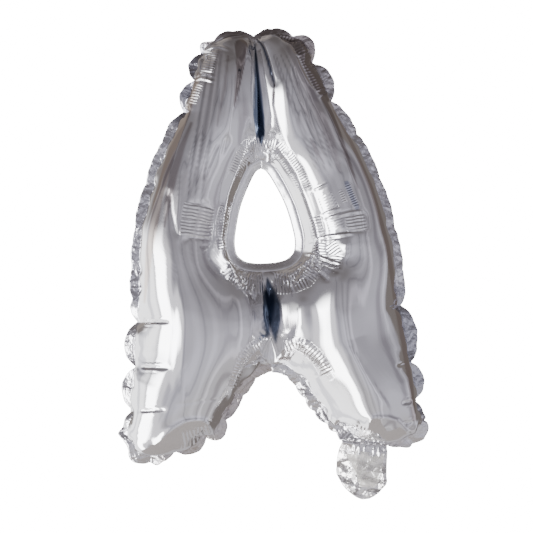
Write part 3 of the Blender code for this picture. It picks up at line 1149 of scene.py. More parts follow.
    def _press_grooves(self, mesh: Mesh) -> None:
        """Presses the two grooves on the centre line into valleys with firm shoulders.

        Args:
            mesh: the blown panel.
        """
        for vert, spot in zip(mesh.vertices, self.spots):
            row = self.rows[spot.index]
            if spot.hand == 0 or spot.sealed or row.stretch not in (Stretch.APEX_GROOVE, Stretch.BAR_GROOVE):
                continue
            reach = abs(vert.co.x) / self.valley_reach
            valley = self.valley * max(1 - reach, 0.0) ** 1.25
            shoulder = self.shoulder * math.exp(-(((reach - 1.25) / 0.35) ** 2))
            along = math.sin(math.pi * row.share) ** 0.6
            vert.co.y += self.side.value * (shoulder - valley) * along
        mesh.update()

    def _puff(self, mesh: Mesh) -> None:
        """Swells the film between the main tucks of the outer seal and pinches it at them.

        Args:
            mesh: the shaped panel.
        """
        tree, marks = self._tuck_tree()
        moves = []
        for vert, spot in zip(mesh.vertices, self.spots):
            if spot.sealed or spot.hand == 0:
                moves.append(Vector())
                continue
            _, found, away = tree.find(vert.co)
            share, length = self.seal.span(*marks[found])
            shape = 1 - abs(2 * share - 1) ** 3.0 - 0.6
            reach = (1 - math.exp(-away / self.PUFF_RIM)) * math.exp(-((away / self.puff_reach) ** 2))
            moves.append(vert.normal * (self.puff * min(length / self.FULL_PUFF, 1.0) * shape * reach))
        for vert, move in zip(mesh.vertices, moves):
            vert.co += move
        mesh.update()

    def _tuck_tree(self) -> tuple[KDTree, list[tuple[float, int]]]:
        """Tree of points on the blown outer seal, and each point's distance along it and hand."""
        count = round(self.half.perimeter / self.MARK_PITCH)
        marks = [(i / count * self.half.perimeter, hand) for i in range(count + 1) for hand in (1, -1)]
        tree = KDTree(len(marks))
        for i, (distance, hand) in enumerate(marks):
            tree.insert(self.seal.point(distance, hand), i)
        tree.balance()
        return tree, marks

    def _mark(self, mesh: Mesh) -> None:
        """Writes the film's own coordinates, and where it is free of its seals.

        Args:
            mesh: the shaped panel, its vertices in the grid's order.
        """
        film = mesh.uv_layers.new(name="Film")
        free = mesh.attributes.new("free", "FLOAT", "POINT")
        for i, spot in enumerate(self.spots):
            free.data[i].value = 0.0 if spot.sealed else 1.0
        for loop in mesh.loops:
            spot = self.spots[loop.vertex_index]
            film.data[loop.index].uv = (spot.hand * spot.inner_reach, spot.index * self.row_pitch)


@dataclass(frozen=True)
class Blower:
    """Cloth simulation that blows a flat cut up inside its seals.

    Attributes:
        seed: sign that makes the two faces crease differently.
        scale: how much larger than life the simulation runs, which suits the solver.
        pressure: gas pressure on the film.
        stiffness: resistance of the film to stretching.
        gather: its resistance to being pressed together, low, as it gathers in folds too fine for the mesh.
        shear: its resistance to shearing.
        bending: its resistance to bending.
        damping: how fast bending dies down.
        vertex_mass: mass of each vertex.
        ripple: how far the flat cut waves off its plane at the start.
        frames: length of the simulation.
        draw_in: frames in which the seals are drawn in to their blown lines.
        quality: solver steps in each frame.
    """

    seed: int
    scale: float = 10.0
    pressure: float = 8.0
    stiffness: float = 60.0
    gather: float = 0.5
    shear: float = 3.0
    bending: float = 0.5
    damping: float = 0.1
    vertex_mass: float = 0.002
    ripple: float = 0.02
    frames: int = 26
    draw_in: int = 10
    quality: int = 5

    def blow(self, mesh: Mesh, cut_places: list[Vector]) -> Mesh:
        """Blows a panel up.

        Args:
            mesh: the panel, roughly blown, with its seals in the first vertex group.
            cut_places: the same vertices' places in the flat cut.

        Returns:
            A new mesh of the blown panel at its real size.
        """
        scene = bpy.context.scene
        film = add_object("film_under_pressure", mesh)
        film.vertex_groups.new(name="seals")
        self._add_shapes(film, cut_places)
        self._add_cloth(film)
        for frame in range(1, self.frames + 1):
            scene.frame_set(frame)
        settled = film.evaluated_get(bpy.context.evaluated_depsgraph_get())
        blown = bpy.data.meshes.new_from_object(settled)
        blown.transform(Matrix.Scale(1 / self.scale, 4))
        bpy.data.objects.remove(film, do_unlink=True)
        scene.frame_set(1)
        return blown

    def _add_shapes(self, film: Object, cut_places: list[Vector]) -> None:
        """Makes the flat cut the film's own shape and keys the seals' way to their blown lines."""
        film.shape_key_add(name="Cut flat")
        blown = film.shape_key_add(name="Seals drawn in")
        own = film.data.shape_keys.key_blocks[0]
        for i, vert in enumerate(film.data.vertices):
            outward = math.copysign(1.0, vert.co.y)
            held = any(group.weight > 0.5 for group in vert.groups)
            flat = cut_places[i] * self.scale
            if not held:
                waves = noise.noise(flat * 4.0 + Vector((0.0, self.seed, 0.0)))
                flat.y += outward * (self.ripple + self.ripple * waves)
            blown.data[i].co = vert.co * self.scale
            own.data[i].co = flat
            vert.co = flat
        for value, frame in ((0.0, 1), (1.0, self.draw_in)):
            blown.value = value
            blown.keyframe_insert("value", frame=frame)

    def _add_cloth(self, film: Object) -> None:
        """Adds the cloth with its pressure and holds it at the seals."""
        cloth = film.modifiers.new("Film", "CLOTH")
        sheet = cloth.settings
        sheet.vertex_group_mass = "seals"
        sheet.pin_stiffness = 1.0
        sheet.mass = self.vertex_mass
        sheet.quality = self.quality
        sheet.tension_stiffness = self.stiffness
        sheet.compression_stiffness = self.gather
        sheet.shear_stiffness = self.shear
        sheet.bending_stiffness = self.bending
        sheet.bending_damping = self.damping
        sheet.use_pressure = True
        sheet.uniform_pressure_force = self.pressure
        sheet.effector_weights.gravity = 0.0
        cloth.collision_settings.use_collision = False
        cloth.collision_settings.use_self_collision = False
        cloth.point_cache.frame_start = 1
        cloth.point_cache.frame_end = self.frames


class Crumple:
    """Faceted creases of crushed foil, as a height: folds that cross at random angles."""

    STRAY = 0.35
    SCALE = 60.0

    def __init__(self, seed: int, pitch: float, folds: int = 5) -> None:
        """Args:
        seed: which crumple.
        pitch: about how far apart its creases are, in metres.
        folds: how many sets of creases cross.
        """
        draw = random.Random(seed)
        self.folds = []
        for _ in range(folds):
            angle = draw.uniform(0.0, math.pi)
            reach = pitch * draw.uniform(0.7, 1.9)
            self.folds.append((math.cos(angle) / reach, math.sin(angle) / reach, draw.random()))

    def height(self, x: float, y: float) -> float:
        """Height at a place, from -1 to 1."""
        total = 0.0
        for fx, fy, phase in self.folds:
            stray = self.STRAY * noise.noise(Vector((x * self.SCALE, y * self.SCALE, phase * 9.0)))
            total += 4 * abs((x * fx + y * fy + phase + stray) % 1.0 - 0.5) - 1
        return total / len(self.folds)


@dataclass(frozen=True)
class FilmSpot:
    """Where one place of a sheet goes.

    Attributes:
        place: its point in space.
        film: its place on the flat film, in metres.
        tint: what the foil's colour is multiplied by there, a painted reflection.
    """

    place: Vector
    film: Pair
    tint: tuple[float, float, float, float] = (1.0, 1.0, 1.0, 1.0)


@dataclass(frozen=True)
class FilmGrid:
    """A thin piece of crushed or welded film, bent from one flat grid.

    Attributes:
        name: the piece's name.
        columns: faces along it.
        rows: faces across it.
        ring: whether its two ends are joined.
        painted_light: whether it carries a tint of painted reflections.
        wall: its thickness, spread evenly to both sides.
    """

    name: str
    columns: int
    rows: int
    ring: bool = False
    painted_light: bool = True
    wall: float = 0.16 * MM

    JOIN = 0.02 * MM

    def build(self, bend: Callable[[float, float], FilmSpot], finish: Material) -> Object:
        """Bends the grid into the piece.

        Args:
            bend: gives the spot for a share along the grid and one across it, each from 0 to 1.
            finish: the piece's material.

        Returns:
            The finished piece, at the origin, its front outwards.
        """
        bm = bmesh.new()
        bmesh.ops.create_grid(bm, x_segments=self.columns, y_segments=self.rows, size=1.0)
        film = bm.loops.layers.uv.new("Film")
        # The tint layer carries the painted reflections
        tint = bm.verts.layers.float_color.new("tint") if self.painted_light else None
        marks = {}
        for vert in bm.verts:
            spot = bend(0.5 * vert.co.x + 0.5, 0.5 * vert.co.y + 0.5)
            vert.co = spot.place
            marks[vert] = spot.film
            if tint:
                vert[tint] = spot.tint
        for face in bm.faces:
            for loop in face.loops:
                loop[film].uv = marks[loop.vert]
        if self.ring:
            bmesh.ops.remove_doubles(bm, verts=bm.verts, dist=self.JOIN)
        bm.normal_update()
        if sum(face.normal.y for face in bm.faces) > 0:
            bmesh.ops.reverse_faces(bm, faces=bm.faces)
        mesh = as_mesh(bm, self.name)
        mesh.shade_smooth()
        mesh.materials.append(finish)
        piece = add_object(self.name, mesh)
        thick = piece.modifiers.new("Film", "SOLIDIFY")
        thick.thickness = self.wall
        thick.offset = 0.0
        return piece


def both_halves(share: float, length: float) -> tuple[float, float, int]:
    """A place on a closed line down the letter's right half and back up its left.

    Args:
        share: share of the way round.
        length: length of either half.

    Returns:
        Metres run in all, metres down its own half, and 1 on the right or -1 on the left.
    """
    run = share * 2 * length
    if run <= length:
        return run, run, 1
    return run, 2 * length - run, -1


@dataclass(frozen=True)
class MarginZone:
    """A stretch of the outer margin with a look of its own, including a painted reflection.

    Attributes:
        hand: 1 on the letter's right half, -1 on its left.
        start: where it starts along the outer seal from the apex notch, in millimetres.
        end: where it ends.
        width: how far the margin stands out there, in millimetres.
        crinkle: height of its crinkles there, in millimetres.
        bend: how steeply it bends to the back there.
        tint: what the foil's colour is multiplied by there, to paint a reflection.
    """

    hand: int
    start: float
    end: float
    width: float
    crinkle: float
    bend: float
    tint: Triple

    BLEND = 7.0

    def weight(self, distance: float, hand: int) -> float:
        """How much of the zone's look a place has, from 0 to 1."""
        if hand != self.hand:
            return 0.0
        inside = min(distance / MM - self.start, self.end - distance / MM)
        return smooth_step(inside, -0.5 * self.BLEND, 0.5 * self.BLEND)


# Each zone's tint paints a reflection into the margin's colour, brown and grey where the margin mirrors the
# dark room
MARGIN_ZONES = (
    MarginZone(1, -9, 66, 4.8, 0.7, 0.25, (0.50, 0.46, 0.45)),
    MarginZone(1, 66, 112, 7.6, 1.5, 0.35, (0.62, 0.60, 0.61)),
    MarginZone(1, 112, 262, 8.8, 1.6, 0.40, (0.86, 0.86, 0.90)),
    MarginZone(1, 262, 372, 8.2, 1.3, 0.35, (0.62, 0.63, 0.68)),
    MarginZone(1, 372, 396, 14.0, 1.6, 0.30, (0.95, 0.95, 0.97)),
    MarginZone(1, 396, 408, 8.0, 1.2, 0.30, (0.80, 0.77, 0.75)),
    MarginZone(1, 408, 462, 8.0, 2.6, 0.10, (1.0, 1.0, 1.0)),
    MarginZone(1, 462, 560, 8.4, 2.2, 0.10, (1.0, 1.0, 1.0)),
    MarginZone(-1, -9, 42, 4.4, 0.7, 0.25, (0.54, 0.50, 0.49)),
    MarginZone(-1, 42, 112, 6.0, 0.7, 0.20, (0.50, 0.50, 0.54)),
    MarginZone(-1, 112, 270, 7.4, 1.0, 0.30, (0.85, 0.85, 0.88)),
    MarginZone(-1, 270, 370, 6.4, 0.5, 0.62, (1.0, 1.0, 1.0)),
    MarginZone(-1, 370, 404, 12.5, 0.9, 0.50, (0.95, 0.95, 0.96)),
    MarginZone(-1, 404, 466, 7.6, 0.5, 0.30, (0.74, 0.70, 0.67)),
    MarginZone(-1, 466, 560, 7.2, 0.35, 0.30, (0.66, 0.61, 0.58)),
)


@dataclass
class OuterMargin:
    """The sealed margin round the whole letter: welded film, pinched at the tucks and crinkled.

    Attributes:
        seal: the blown outer seal that the margin stands out from.
        tail: the filler tail, whose fold the margin's edge meets.
        zones: its looks along the seal, painted reflections among them.
        tip: how far the middle of a lobe stands out beyond its ends.
        pinch: how much of the seal's own draw the margin's width follows.
        facet: how far a lobe's middle stands forward or back of its ends.
        jag: how far the free edge strays.
        overlap: how far it reaches in under the panels' rims.
        pitch: length of its faces along the seal.
        rows: faces across it.
        crumple: its crinkles.
    """

    seal: BlownSeal
    tail: FillerTail
    zones: tuple[MarginZone, ...] = MARGIN_ZONES
    tip: float = 1.6 * MM
    pinch: float = 0.95
    facet: float = 2.2 * MM
    jag: float = 0.7 * MM
    overlap: float = 0.8 * MM
    pitch: float = 0.9 * MM
    rows: int = 8
    crumple: Crumple = field(default_factory=lambda: Crumple(seed=11, pitch=5.0 * MM))

    FULL_LOBE, JAG_PITCH, LEAST_WIDTH = 30 * MM, 5 * MM, 2 * MM
    # Deals the lobes out to the front and the back by their lengths
    FACING = 9000

    def build(self, finish: Material) -> Object:
        """Makes the margin as one closed band in this material, at the origin."""
        columns = 2 * round(self.seal.half.perimeter / self.pitch)
        return FilmGrid("sealed_margin", columns, self.rows, True).build(self._bend, finish)

    def _bend(self, along: float, across: float) -> FilmSpot:
        """Its spot at a share of the way round the letter and a share of the way to the free edge."""
        run, distance, hand = both_halves(along, self.seal.half.perimeter)
        look, tint = self._look(distance, hand)
        return FilmSpot(self._place(distance, hand, across, look), (run, across * look.x), tint)

    def _look(self, distance: float, hand: int) -> tuple[Vector, tuple[float, float, float, float]]:
        """The margin's look at a place along the seal.

        Args:
            distance: metres along the seal from the apex notch.
            hand: 1 for the right half, -1 for the left.

        Returns:
            Its width, crinkle and bend as one vector, in metres but for the bend, and its tint, a painted
            reflection.
        """
        look, tint, total = Vector(), Vector(), 0.0
        for zone in self.zones:
            weight = zone.weight(distance, hand)
            look += weight * Vector((zone.width * MM, zone.crinkle * MM, zone.bend))
            tint += weight * Vector(zone.tint)
            total += weight
        return look / total, (*(tint / total), 1.0)

    def _place(self, distance: float, hand: int, share: float, look: Vector) -> Vector:
        """Where a point of the margin is.

        Args:
            distance: metres along the seal from the apex notch.
            hand: 1 for the right half, -1 for the left.
            share: 0 under the panels, 1 at the free edge.
            look: its width, crinkle and bend there.

        Returns:
            The point in space.
        """
        base, away = self.seal.frame(distance, hand)
        out, lean = self.seal.draw(distance, hand)
        place, length = self.seal.span(distance, hand)
        lobe = (1 - abs(2 * place - 1)) * min(length / self.FULL_LOBE, 1.0)
        stray = noise.noise(Vector((distance / self.JAG_PITCH, 7.0 * hand, 2.5)))
        width = look.x - self.pinch * (self.seal.swell - out) + self.tip * lobe + self.jag * stray
        reach = -self.overlap + share * (self.overlap + max(width, self.LEAST_WIDTH))
        point = base + away * (out + reach)
        free = share**1.3
        forward = math.copysign(self.facet, math.sin(length * self.FACING)) * lobe * free
        crushed = look.y * free * self.crumple.height(hand * distance, reach)
        point.y = lean * (1 + 0.9 * free) + crushed + forward + look.z * max(reach, 0.0)
        if hand * point.x < 0:
            point.x = 0.0
        return self.tail.trim(point, share)


@dataclass
class CounterMargin:
    """The sealed margin round the letter's hole, a smooth flat ring.

    Attributes:
        half: the blown half letter.
        width: how far the ring stands into the hole.
        overlap: how far it reaches out under the panels' rims.
        pitch: length of its faces along the seal.
        rows: faces across it.
        wave: height of its slow waves at the free edge.
        bend: how steeply it bends to the back towards the hole.
        crumple: its slow waves.
    """

    half: HalfLetter
    width: float = 7.0 * MM
    overlap: float = 0.8 * MM
    pitch: float = 1.2 * MM
    rows: int = 6
    wave: float = 0.5 * MM
    bend: float = 0.62
    crumple: Crumple = field(default_factory=lambda: Crumple(seed=5, pitch=9.0 * MM))

    BEND_START, STEP = 1 * MM, 2.0 * MM

    def build(self, finish: Material) -> Object:
        """Makes the ring in this material, at the origin."""
        columns = 2 * round(self.half.counter.length / self.pitch)
        return FilmGrid("counter_ring", columns, self.rows, True, False).build(self._bend, finish)

    def _bend(self, along: float, across: float) -> FilmSpot:
        """Its spot at a share of the way round the hole and a share of the way to the free edge."""
        line = self.half.counter
        run, distance, hand = both_halves(along, line.length)
        way = line.along(distance + self.STEP) - line.along(distance - self.STEP)
        inward = Vector((-way.y, way.x)).normalized()
        reach = -self.overlap + across * (self.overlap + self.width)
        point = line.along(distance) + inward * reach
        lift = self.wave * across * self.crumple.height(hand * distance, reach)
        back = self.bend * max(reach - self.BEND_START, 0.0)
        place = Vector((hand * max(point.x, 0.0), lift + back, -point.y))
        return FilmSpot(place, (run, across * self.width))


@dataclass(frozen=True)
class TailSheet:
    """One sheet of the filler tail.

    Attributes:
        name: the piece's name.
        sides: its outline as (below the fold, left edge, right edge) in millimetres.
        front: how far in front of the tail's own plane it lies, in millimetres.
        crush: height of its crumples, in millimetres.
        crumple_pitch: size of its crumples, in millimetres.
        seed: which crumple it has.
        pleats: height of the upright pleats it is gathered in, in millimetres.
    """

    name: str
    sides: tuple[Triple, ...]
    front: float
    crush: float
    crumple_pitch: float
    seed: int
    pleats: float = 0.0

    def edges(self, down: float) -> Pair:
        """Left and right edge this far below the fold, all in millimetres."""
        for (a, left_a, right_a), (b, left_b, right_b) in zip(self.sides, self.sides[1:]):
            if down <= b:
                part = max(down - a, 0.0) / (b - a)
                return left_a + (left_b - left_a) * part, right_a + (right_b - right_a) * part
        return self.sides[-1][1:]


LEAF = TailSheet(
    "tail_leaf_foil",
    (
        (-1.2, -17.5, 19.5), (3, -17.8, 21.2), (11, -18.7, 21.8), (24, -19, 22), (27.5, -18, 22.8),
        (31, -16, 22), (35, -13, 19.3), (38, -10.5, 17.3), (42, -5, 13), (44.2, -1, 9.8), (45.4, 3.6, 4.6),
    ),
    front=0.0, crush=4.2, crumple_pitch=12.0, seed=21,
)
NECK = TailSheet(
    "tail_neck_foil",
    ((-2.4, -18.5, 20.5), (4, -15, 20.5), (7, -12.5, 20), (9, -11, 18.5)),
    front=0.7, crush=3.2, crumple_pitch=6.5, seed=22, pleats=0.5,
)
STRIP = TailSheet(
    "valve_strip",
    ((6, -12.5, 18.8), (14, -10, 18.5), (20, -6, 17.5), (28, -2, 16.5), (35, 1, 13)),
    front=0.8, crush=4.2, crumple_pitch=12.0, seed=21,
)


@dataclass
class FillerTail:
    """The filler tail under the right foot: two sheets of crushed foil and the clear valve strip.

    Attributes:
        fold: middle of the fold's axis.
        lean: how far the tail leans in, in radians.
        width: its width.
        curl: how steeply its left side bends to the back.
        curl_start: where that bend starts, left of its middle.
        come: how steeply its right side comes forward.
        stand: how far the whole crushed part comes forward.
        roll: height of the rolled edge on its right.
        pitch: size of its faces.
    """

    fold: Vector
    lean: float
    width: float = 40 * MM
    curl: float = 0.66
    curl_start: float = 3 * MM
    come: float = 0.12
    stand: float = 1.5 * MM
    roll: float = 1.6 * MM
    pitch: float = 0.6 * MM

    # Flat above the first distance, to fold under the foot, and crushed in full below the second
    FLAT = (11 * MM, 26 * MM)
    ROLL_AT, ROLL_REACH = 19.5 * MM, 2.2 * MM
    PLEAT_PITCH = 4.2 * MM
    # Where the outer margin is trimmed, and where its edge goes there
    COLLAR, COLLAR_TOP = 3 * MM, 12 * MM
    COLLAR_EDGE, COLLAR_FRONT = 1.7 * MM, 1.5 * MM

    @property
    def matrix(self) -> Matrix:
        """From the tail's own frame, +Z up from the fold, to space."""
        return Matrix.Translation(self.fold) @ Matrix.Rotation(self.lean, 4, "Y")

    def trim(self, point: Vector, share: float) -> Vector:
        """Keeps the outer margin above the fold over the tail's width.

        Args:
            point: a point of the margin.
            share: 0 under the panels, 1 at its free edge.

        Returns:
            The point, moved to just above the fold where it would pass it.
        """
        local = self.matrix.inverted() @ point
        reach = self.width / 2 + self.COLLAR
        if abs(local.x) > reach or local.z > self.COLLAR_TOP:
            return point
        blend = min((reach - abs(local.x)) / self.COLLAR, 1.0) * share
        local.z += (self.COLLAR_EDGE - local.z) * blend
        local.y = local.y * (1 - 0.5 * blend) - self.COLLAR_FRONT * blend
        return self.matrix @ local

    def build(self, sheet: TailSheet, finish: Material) -> Object:
        """Makes one crushed sheet.

        Args:
            sheet: its outline and its crumples.
            finish: its material.

        Returns:
            The finished piece, at the origin.
        """
        top, bottom = sheet.sides[0][0] * MM, sheet.sides[-1][0] * MM
        rows = round((bottom - top) / self.pitch)
        columns = round(self.width / self.pitch)
        crumple = Crumple(seed=sheet.seed, pitch=sheet.crumple_pitch * MM, folds=6)

        def bend(along: float, across: float) -> FilmSpot:
            """Its spot at a share of the way to the right and a share of the way up."""
            down = top + (1 - across) * (bottom - top)
            left, right = sheet.edges(down / MM)
            x = (left + (right - left) * along) * MM
            place = Vector((x, self._depth(sheet, x, down, crumple), -down))
            return FilmSpot(self.matrix @ place, (x, down))

        return FilmGrid(sheet.name, columns, rows).build(bend, finish)

    def _depth(self, sheet: TailSheet, x: float, down: float, crumple: Crumple) -> float:
        """How far back of the fold a place of a sheet is: curled on its left, rolled on its right."""
        calm = smooth_step(down, -0.5 * MM, 7 * MM)
        clear = smooth_step(down, *self.FLAT)
        come = self.come * max(x + self.curl_start, 0.0) + self.stand
        curl = self.curl * max(-x - self.curl_start, 0.0) - clear * come
        roll = clear * self.roll * math.exp(-(((x - self.ROLL_AT) / self.ROLL_REACH) ** 2))
        crushed = (0.4 + 0.6 * clear) * sheet.crush * MM * crumple.height(x, down)
        zigzag = 4 * abs((x / self.PLEAT_PITCH) % 1.0 - 0.5) - 1
        pleat = sheet.pleats * MM * zigzag * smooth_step(down, 0.0, 3 * MM)
        front = sheet.front * MM * smooth_step(down, -2 * MM, 1 * MM)
        return calm * (curl - roll + crushed) + pleat - front


class Wire:
    """A shader socket or number that takes part in sums, adding its Math nodes as it goes."""

    def __init__(self, bench: Bench, socket: bpy.types.NodeSocket) -> None:
        """Args:
        bench: the node tree that the socket is on.
        socket: the output socket.
        """
        self.bench = bench
        self.socket = socket

    def _math(self, operation: str, *values: Wire | float) -> Wire:
        """Adds one Math node on these values."""
        inputs = dict(enumerate(values))
        return self.bench.node("ShaderNodeMath", {"operation": operation}, inputs, output=0)

    def __add__(self, other: Wire | float) -> Wire:
        """Sum."""
        return self._math("ADD", self, other)

    __radd__ = __add__

    def __mul__(self, other: Wire | float) -> Wire:
        """Product."""
        return self._math("MULTIPLY", self, other)

    __rmul__ = __mul__

    def __rsub__(self, other: float) -> Wire:
        """Difference from a number."""
        return self._math("SUBTRACT", other, self)

    def step(self, low: float, high: float) -> Wire:
        """Smooth step from 0 at low to 1 at high."""
        settings = {"interpolation_type": "SMOOTHSTEP"}
        return self.bench.node("ShaderNodeMapRange", settings, {"Value": self, 1: low, 2: high}, output=0)

    def triangle(self) -> Wire:
        """Triangle wave from 0 to 1 with a period of 1."""
        return self._math("PINGPONG", self, 0.5) * 2.0


class Bench:
    """A node tree being wired: one method adds any node."""

    def __init__(self, tree: bpy.types.NodeTree) -> None:
        """Args:
        tree: the tree, which is emptied.
        """
        self.tree = tree
        tree.nodes.clear()

    @classmethod
    def material(cls, name: str) -> tuple[Material, Bench]:
        """A new material and the bench of its tree."""
        material = bpy.data.materials.new(name)
        material.use_nodes = True
        return material, cls(material.node_tree)

    def node(
        self,
        kind: str,
        settings: dict | None = None,
        inputs: dict | None = None,
        output: str | int | None = None,
    ) -> Wire | bpy.types.Node:
        """Adds a node.

        Args:
            kind: its type.
            settings: its own settings, set first; "stops" gives a colour ramp's positions and colours.
            inputs: values or wires by socket name or number.
            output: the output to return.

        Returns:
            The named output as a wire, or the node if none is named.
        """
        node = self.tree.nodes.new(kind)
        for key, value in (settings or {}).items():
            if key == "stops":
                self._set_stops(node.color_ramp, value)
            else:
                setattr(node, key, value)
        for key, value in (inputs or {}).items():
            if isinstance(value, Wire):
                self.tree.links.new(value.socket, node.inputs[key])
            else:
                node.inputs[key].default_value = value
        return node if output is None else Wire(self, node.outputs[output])

    @staticmethod
    def _set_stops(ramp: bpy.types.ColorRamp, stops: tuple[tuple[float, Triple], ...]) -> None:
        """Gives a colour ramp its positions and colours, in order and eased from one to the next."""
        ramp.interpolation = "EASE"
        while len(ramp.elements) < len(stops):
            ramp.elements.new(0.5)
        for element, (position, colour) in zip(ramp.elements, stops):
            element.position = position
            element.color = (*colour, 1.0)

    def mix(self, factor: Wire | float, low: Wire | tuple, high: Wire | tuple, blend: str = "MIX") -> Wire:
        """Mixes two colours; a tuple has four numbers."""
        inputs = {0: factor, 6: low, 7: high}
        return self.node("ShaderNodeMix", {"data_type": "RGBA", "blend_type": blend}, inputs, output=2)

    def noise(self, vector: Wire, scale: float, detail: float, distortion: float = 0.0) -> Wire:
        """Soft noise from 0 to 1."""
        inputs = {"Vector": vector, "Scale": scale, "Detail": detail, "Distortion": distortion}
        return self.node("ShaderNodeTexNoise", None, inputs, output=0)

    def bump(self, height: Wire, strength: float) -> Wire:
        """Normal of a relief whose height is in millimetres."""
        inputs = {"Strength": strength, "Distance": 1.0 * MM, "Height": height}
        return self.node("ShaderNodeBump", None, inputs, output=0)

    def surface(self, inputs: dict) -> None:
        """Ends the tree with a surface of these inputs."""
        shader = self.node("ShaderNodeBsdfPrincipled", None, inputs, output=0)
        self.node("ShaderNodeOutputMaterial", None, {"Surface": shader})


@dataclass(frozen=True)
class FoilFinish:
    """Metallised film.

    Attributes:
        name: the material's name.
        silver: its colour.
        tarnish: its colour in slow patches.
        roughness: how soft its reflections are.
        crease: strength of its crushed creases.
        crease_scale: how many crease cells there are to a metre.
        drawn: strength of the long faint lines that the film is drawn with.
        painted_light: whether its pieces carry a tint of painted reflections, which its colour is multiplied
            by.
        blown: whether it is a blown panel's, with fine ribs.
        ribs: height of its fine ribs, in millimetres.
        milky: how much of it is cloudy film in place of bright metal, in patches.
    """

    name: str
    silver: Triple = (0.86, 0.86, 0.88)
    tarnish: Triple = (0.80, 0.79, 0.80)
    roughness: float = 0.07
    crease: float = 0.0
    crease_scale: float = 160.0
    drawn: float = 0.10
    painted_light: bool = True
    blown: bool = False
    ribs: float = 1.5
    milky: float = 0.0

    def build(self) -> Material:
        """Makes the material."""
        material, bench = Bench.material(self.name)
        coords = bench.node("ShaderNodeTexCoord", output="Object")
        patches = bench.noise(coords, 22.0, 2.0)
        grain = bench.noise(coords, 900.0, 3.0)
        colour = bench.mix(patches.step(0.35, 0.7), (*self.silver, 1.0), (*self.tarnish, 1.0))
        rough = self.roughness + 0.05 * patches.step(0.45, 0.75) + 0.02 * grain
        height = self._lines(bench) * self.drawn + grain * 0.004
        if self.crease:
            height = height + self._creases(bench, coords) * self.crease
        if self.blown:
            height = height + self._ribs(bench)
        # Multiplies the colour by the pieces' painted reflections
        if self.painted_light:
            tint = bench.node("ShaderNodeAttribute", {"attribute_name": "tint"}, output="Color")
            colour = bench.mix(1.0, colour, tint, "MULTIPLY")
        bump = bench.bump(height, 0.35)
        metal = 1.0 - self.milky * patches.step(0.3, 0.6) if self.milky else 1.0
        bench.surface({"Base Color": colour, "Metallic": metal, "Roughness": rough, "Normal": bump})
        return material

    def _lines(self, bench: Bench) -> Wire:
        """Long faint lines that run down the film."""
        film = bench.node("ShaderNodeUVMap", {"uv_map": "Film"}, output=0)
        scale = (170.0, 4.0, 1.0)
        drawn = bench.node("ShaderNodeMapping", None, {"Vector": film, "Scale": scale}, output=0)
        return bench.noise(drawn, 1.0, 2.0)

    def _ribs(self, bench: Bench) -> Wire:
        """Fine ribs where the film gathers along its seals, uneven in place and height."""
        ribs = bench.node("ShaderNodeUVMap", {"uv_map": "Ribs"}, output=0)
        parts = bench.node("ShaderNodeSeparateXYZ", None, {"Vector": ribs})
        turn, strength = (Wire(bench, parts.outputs[i]) for i in range(2))
        film = bench.node("ShaderNodeUVMap", {"uv_map": "Film"}, output=0)
        wander = bench.noise(film, 90.0, 1.0)
        wave = (turn + wander * 0.9).triangle()
        return wave * strength * (0.5 + 0.8 * wander) * self.ribs

    def _creases(self, bench: Bench, coords: Wire) -> Wire:
        """Crushed facets that meet in sharp creases."""
        facets = []
        for scale, detail in ((self.crease_scale * 0.55, 0.0), (self.crease_scale * 1.5, 1.0)):
            facets.append((bench.noise(coords, scale, detail, 0.6) * 2.6).triangle())
        return facets[0] * 1.7 + facets[1] * 0.5


@dataclass(frozen=True)
class ClearFilm:
    """The clear valve strip, creased and a little yellow."""

    name: str = "valve_strip_film"
    tint: Triple = (0.92, 0.90, 0.85)
    cover: float = 0.20

    def build(self) -> Material:
        """Makes the material."""
        material, bench = Bench.material(self.name)
        coords = bench.node("ShaderNodeTexCoord", output="Object")
        inputs = {"Vector": coords, "Scale": 170.0}
        cells = bench.node("ShaderNodeTexVoronoi", None, inputs, output="Distance")
        patches = bench.noise(coords, 70.0, 3.0)
        bump = bench.bump(cells, 0.5)
        cover = self.cover + 0.35 * patches.step(0.45, 0.75)
        rough = 0.12 + 0.2 * patches
        bench.surface({"Base Color": (*self.tint, 1.0), "Roughness": rough, "Alpha": cover, "Normal": bump})
        return material


@dataclass(frozen=True)
class SoftBox:
    """A patch of the room that the foil mirrors.

    Attributes:
        turns: the azimuths of its edges in degrees, 0 towards the camera and 90 to the letter's right.
        heights: the sines of the elevations of its edges.
        light: its colour and brightness.
        edge: width of its soft sides in degrees.
        fade: width of its soft top and bottom in degrees.
        blend: how it is laid over the room: "MIX" covers it, "MULTIPLY" darkens or lightens it.
    """

    turns: Pair
    heights: Pair
    light: Triple
    edge: float = 3.0
    fade: float = 4.0
    blend: str = "MIX"

    def cover(self, turn: Wire, height: Wire) -> Wire:
        """Mask of the patch.

        Args:
            turn: azimuth of the ray in degrees.
            height: sine of its elevation.

        Returns:
            1 inside the patch and 0 outside.
        """
        across = turn.step(self.turns[0] - self.edge, self.turns[0] + self.edge)
        across = across * (1 - turn.step(self.turns[1] - self.edge, self.turns[1] + self.edge))
        soft = math.radians(self.fade)
        up = height.step(self.heights[0] - soft, self.heights[0] + soft)
        return across * up * (1 - height.step(self.heights[1] - soft, self.heights[1] + soft))


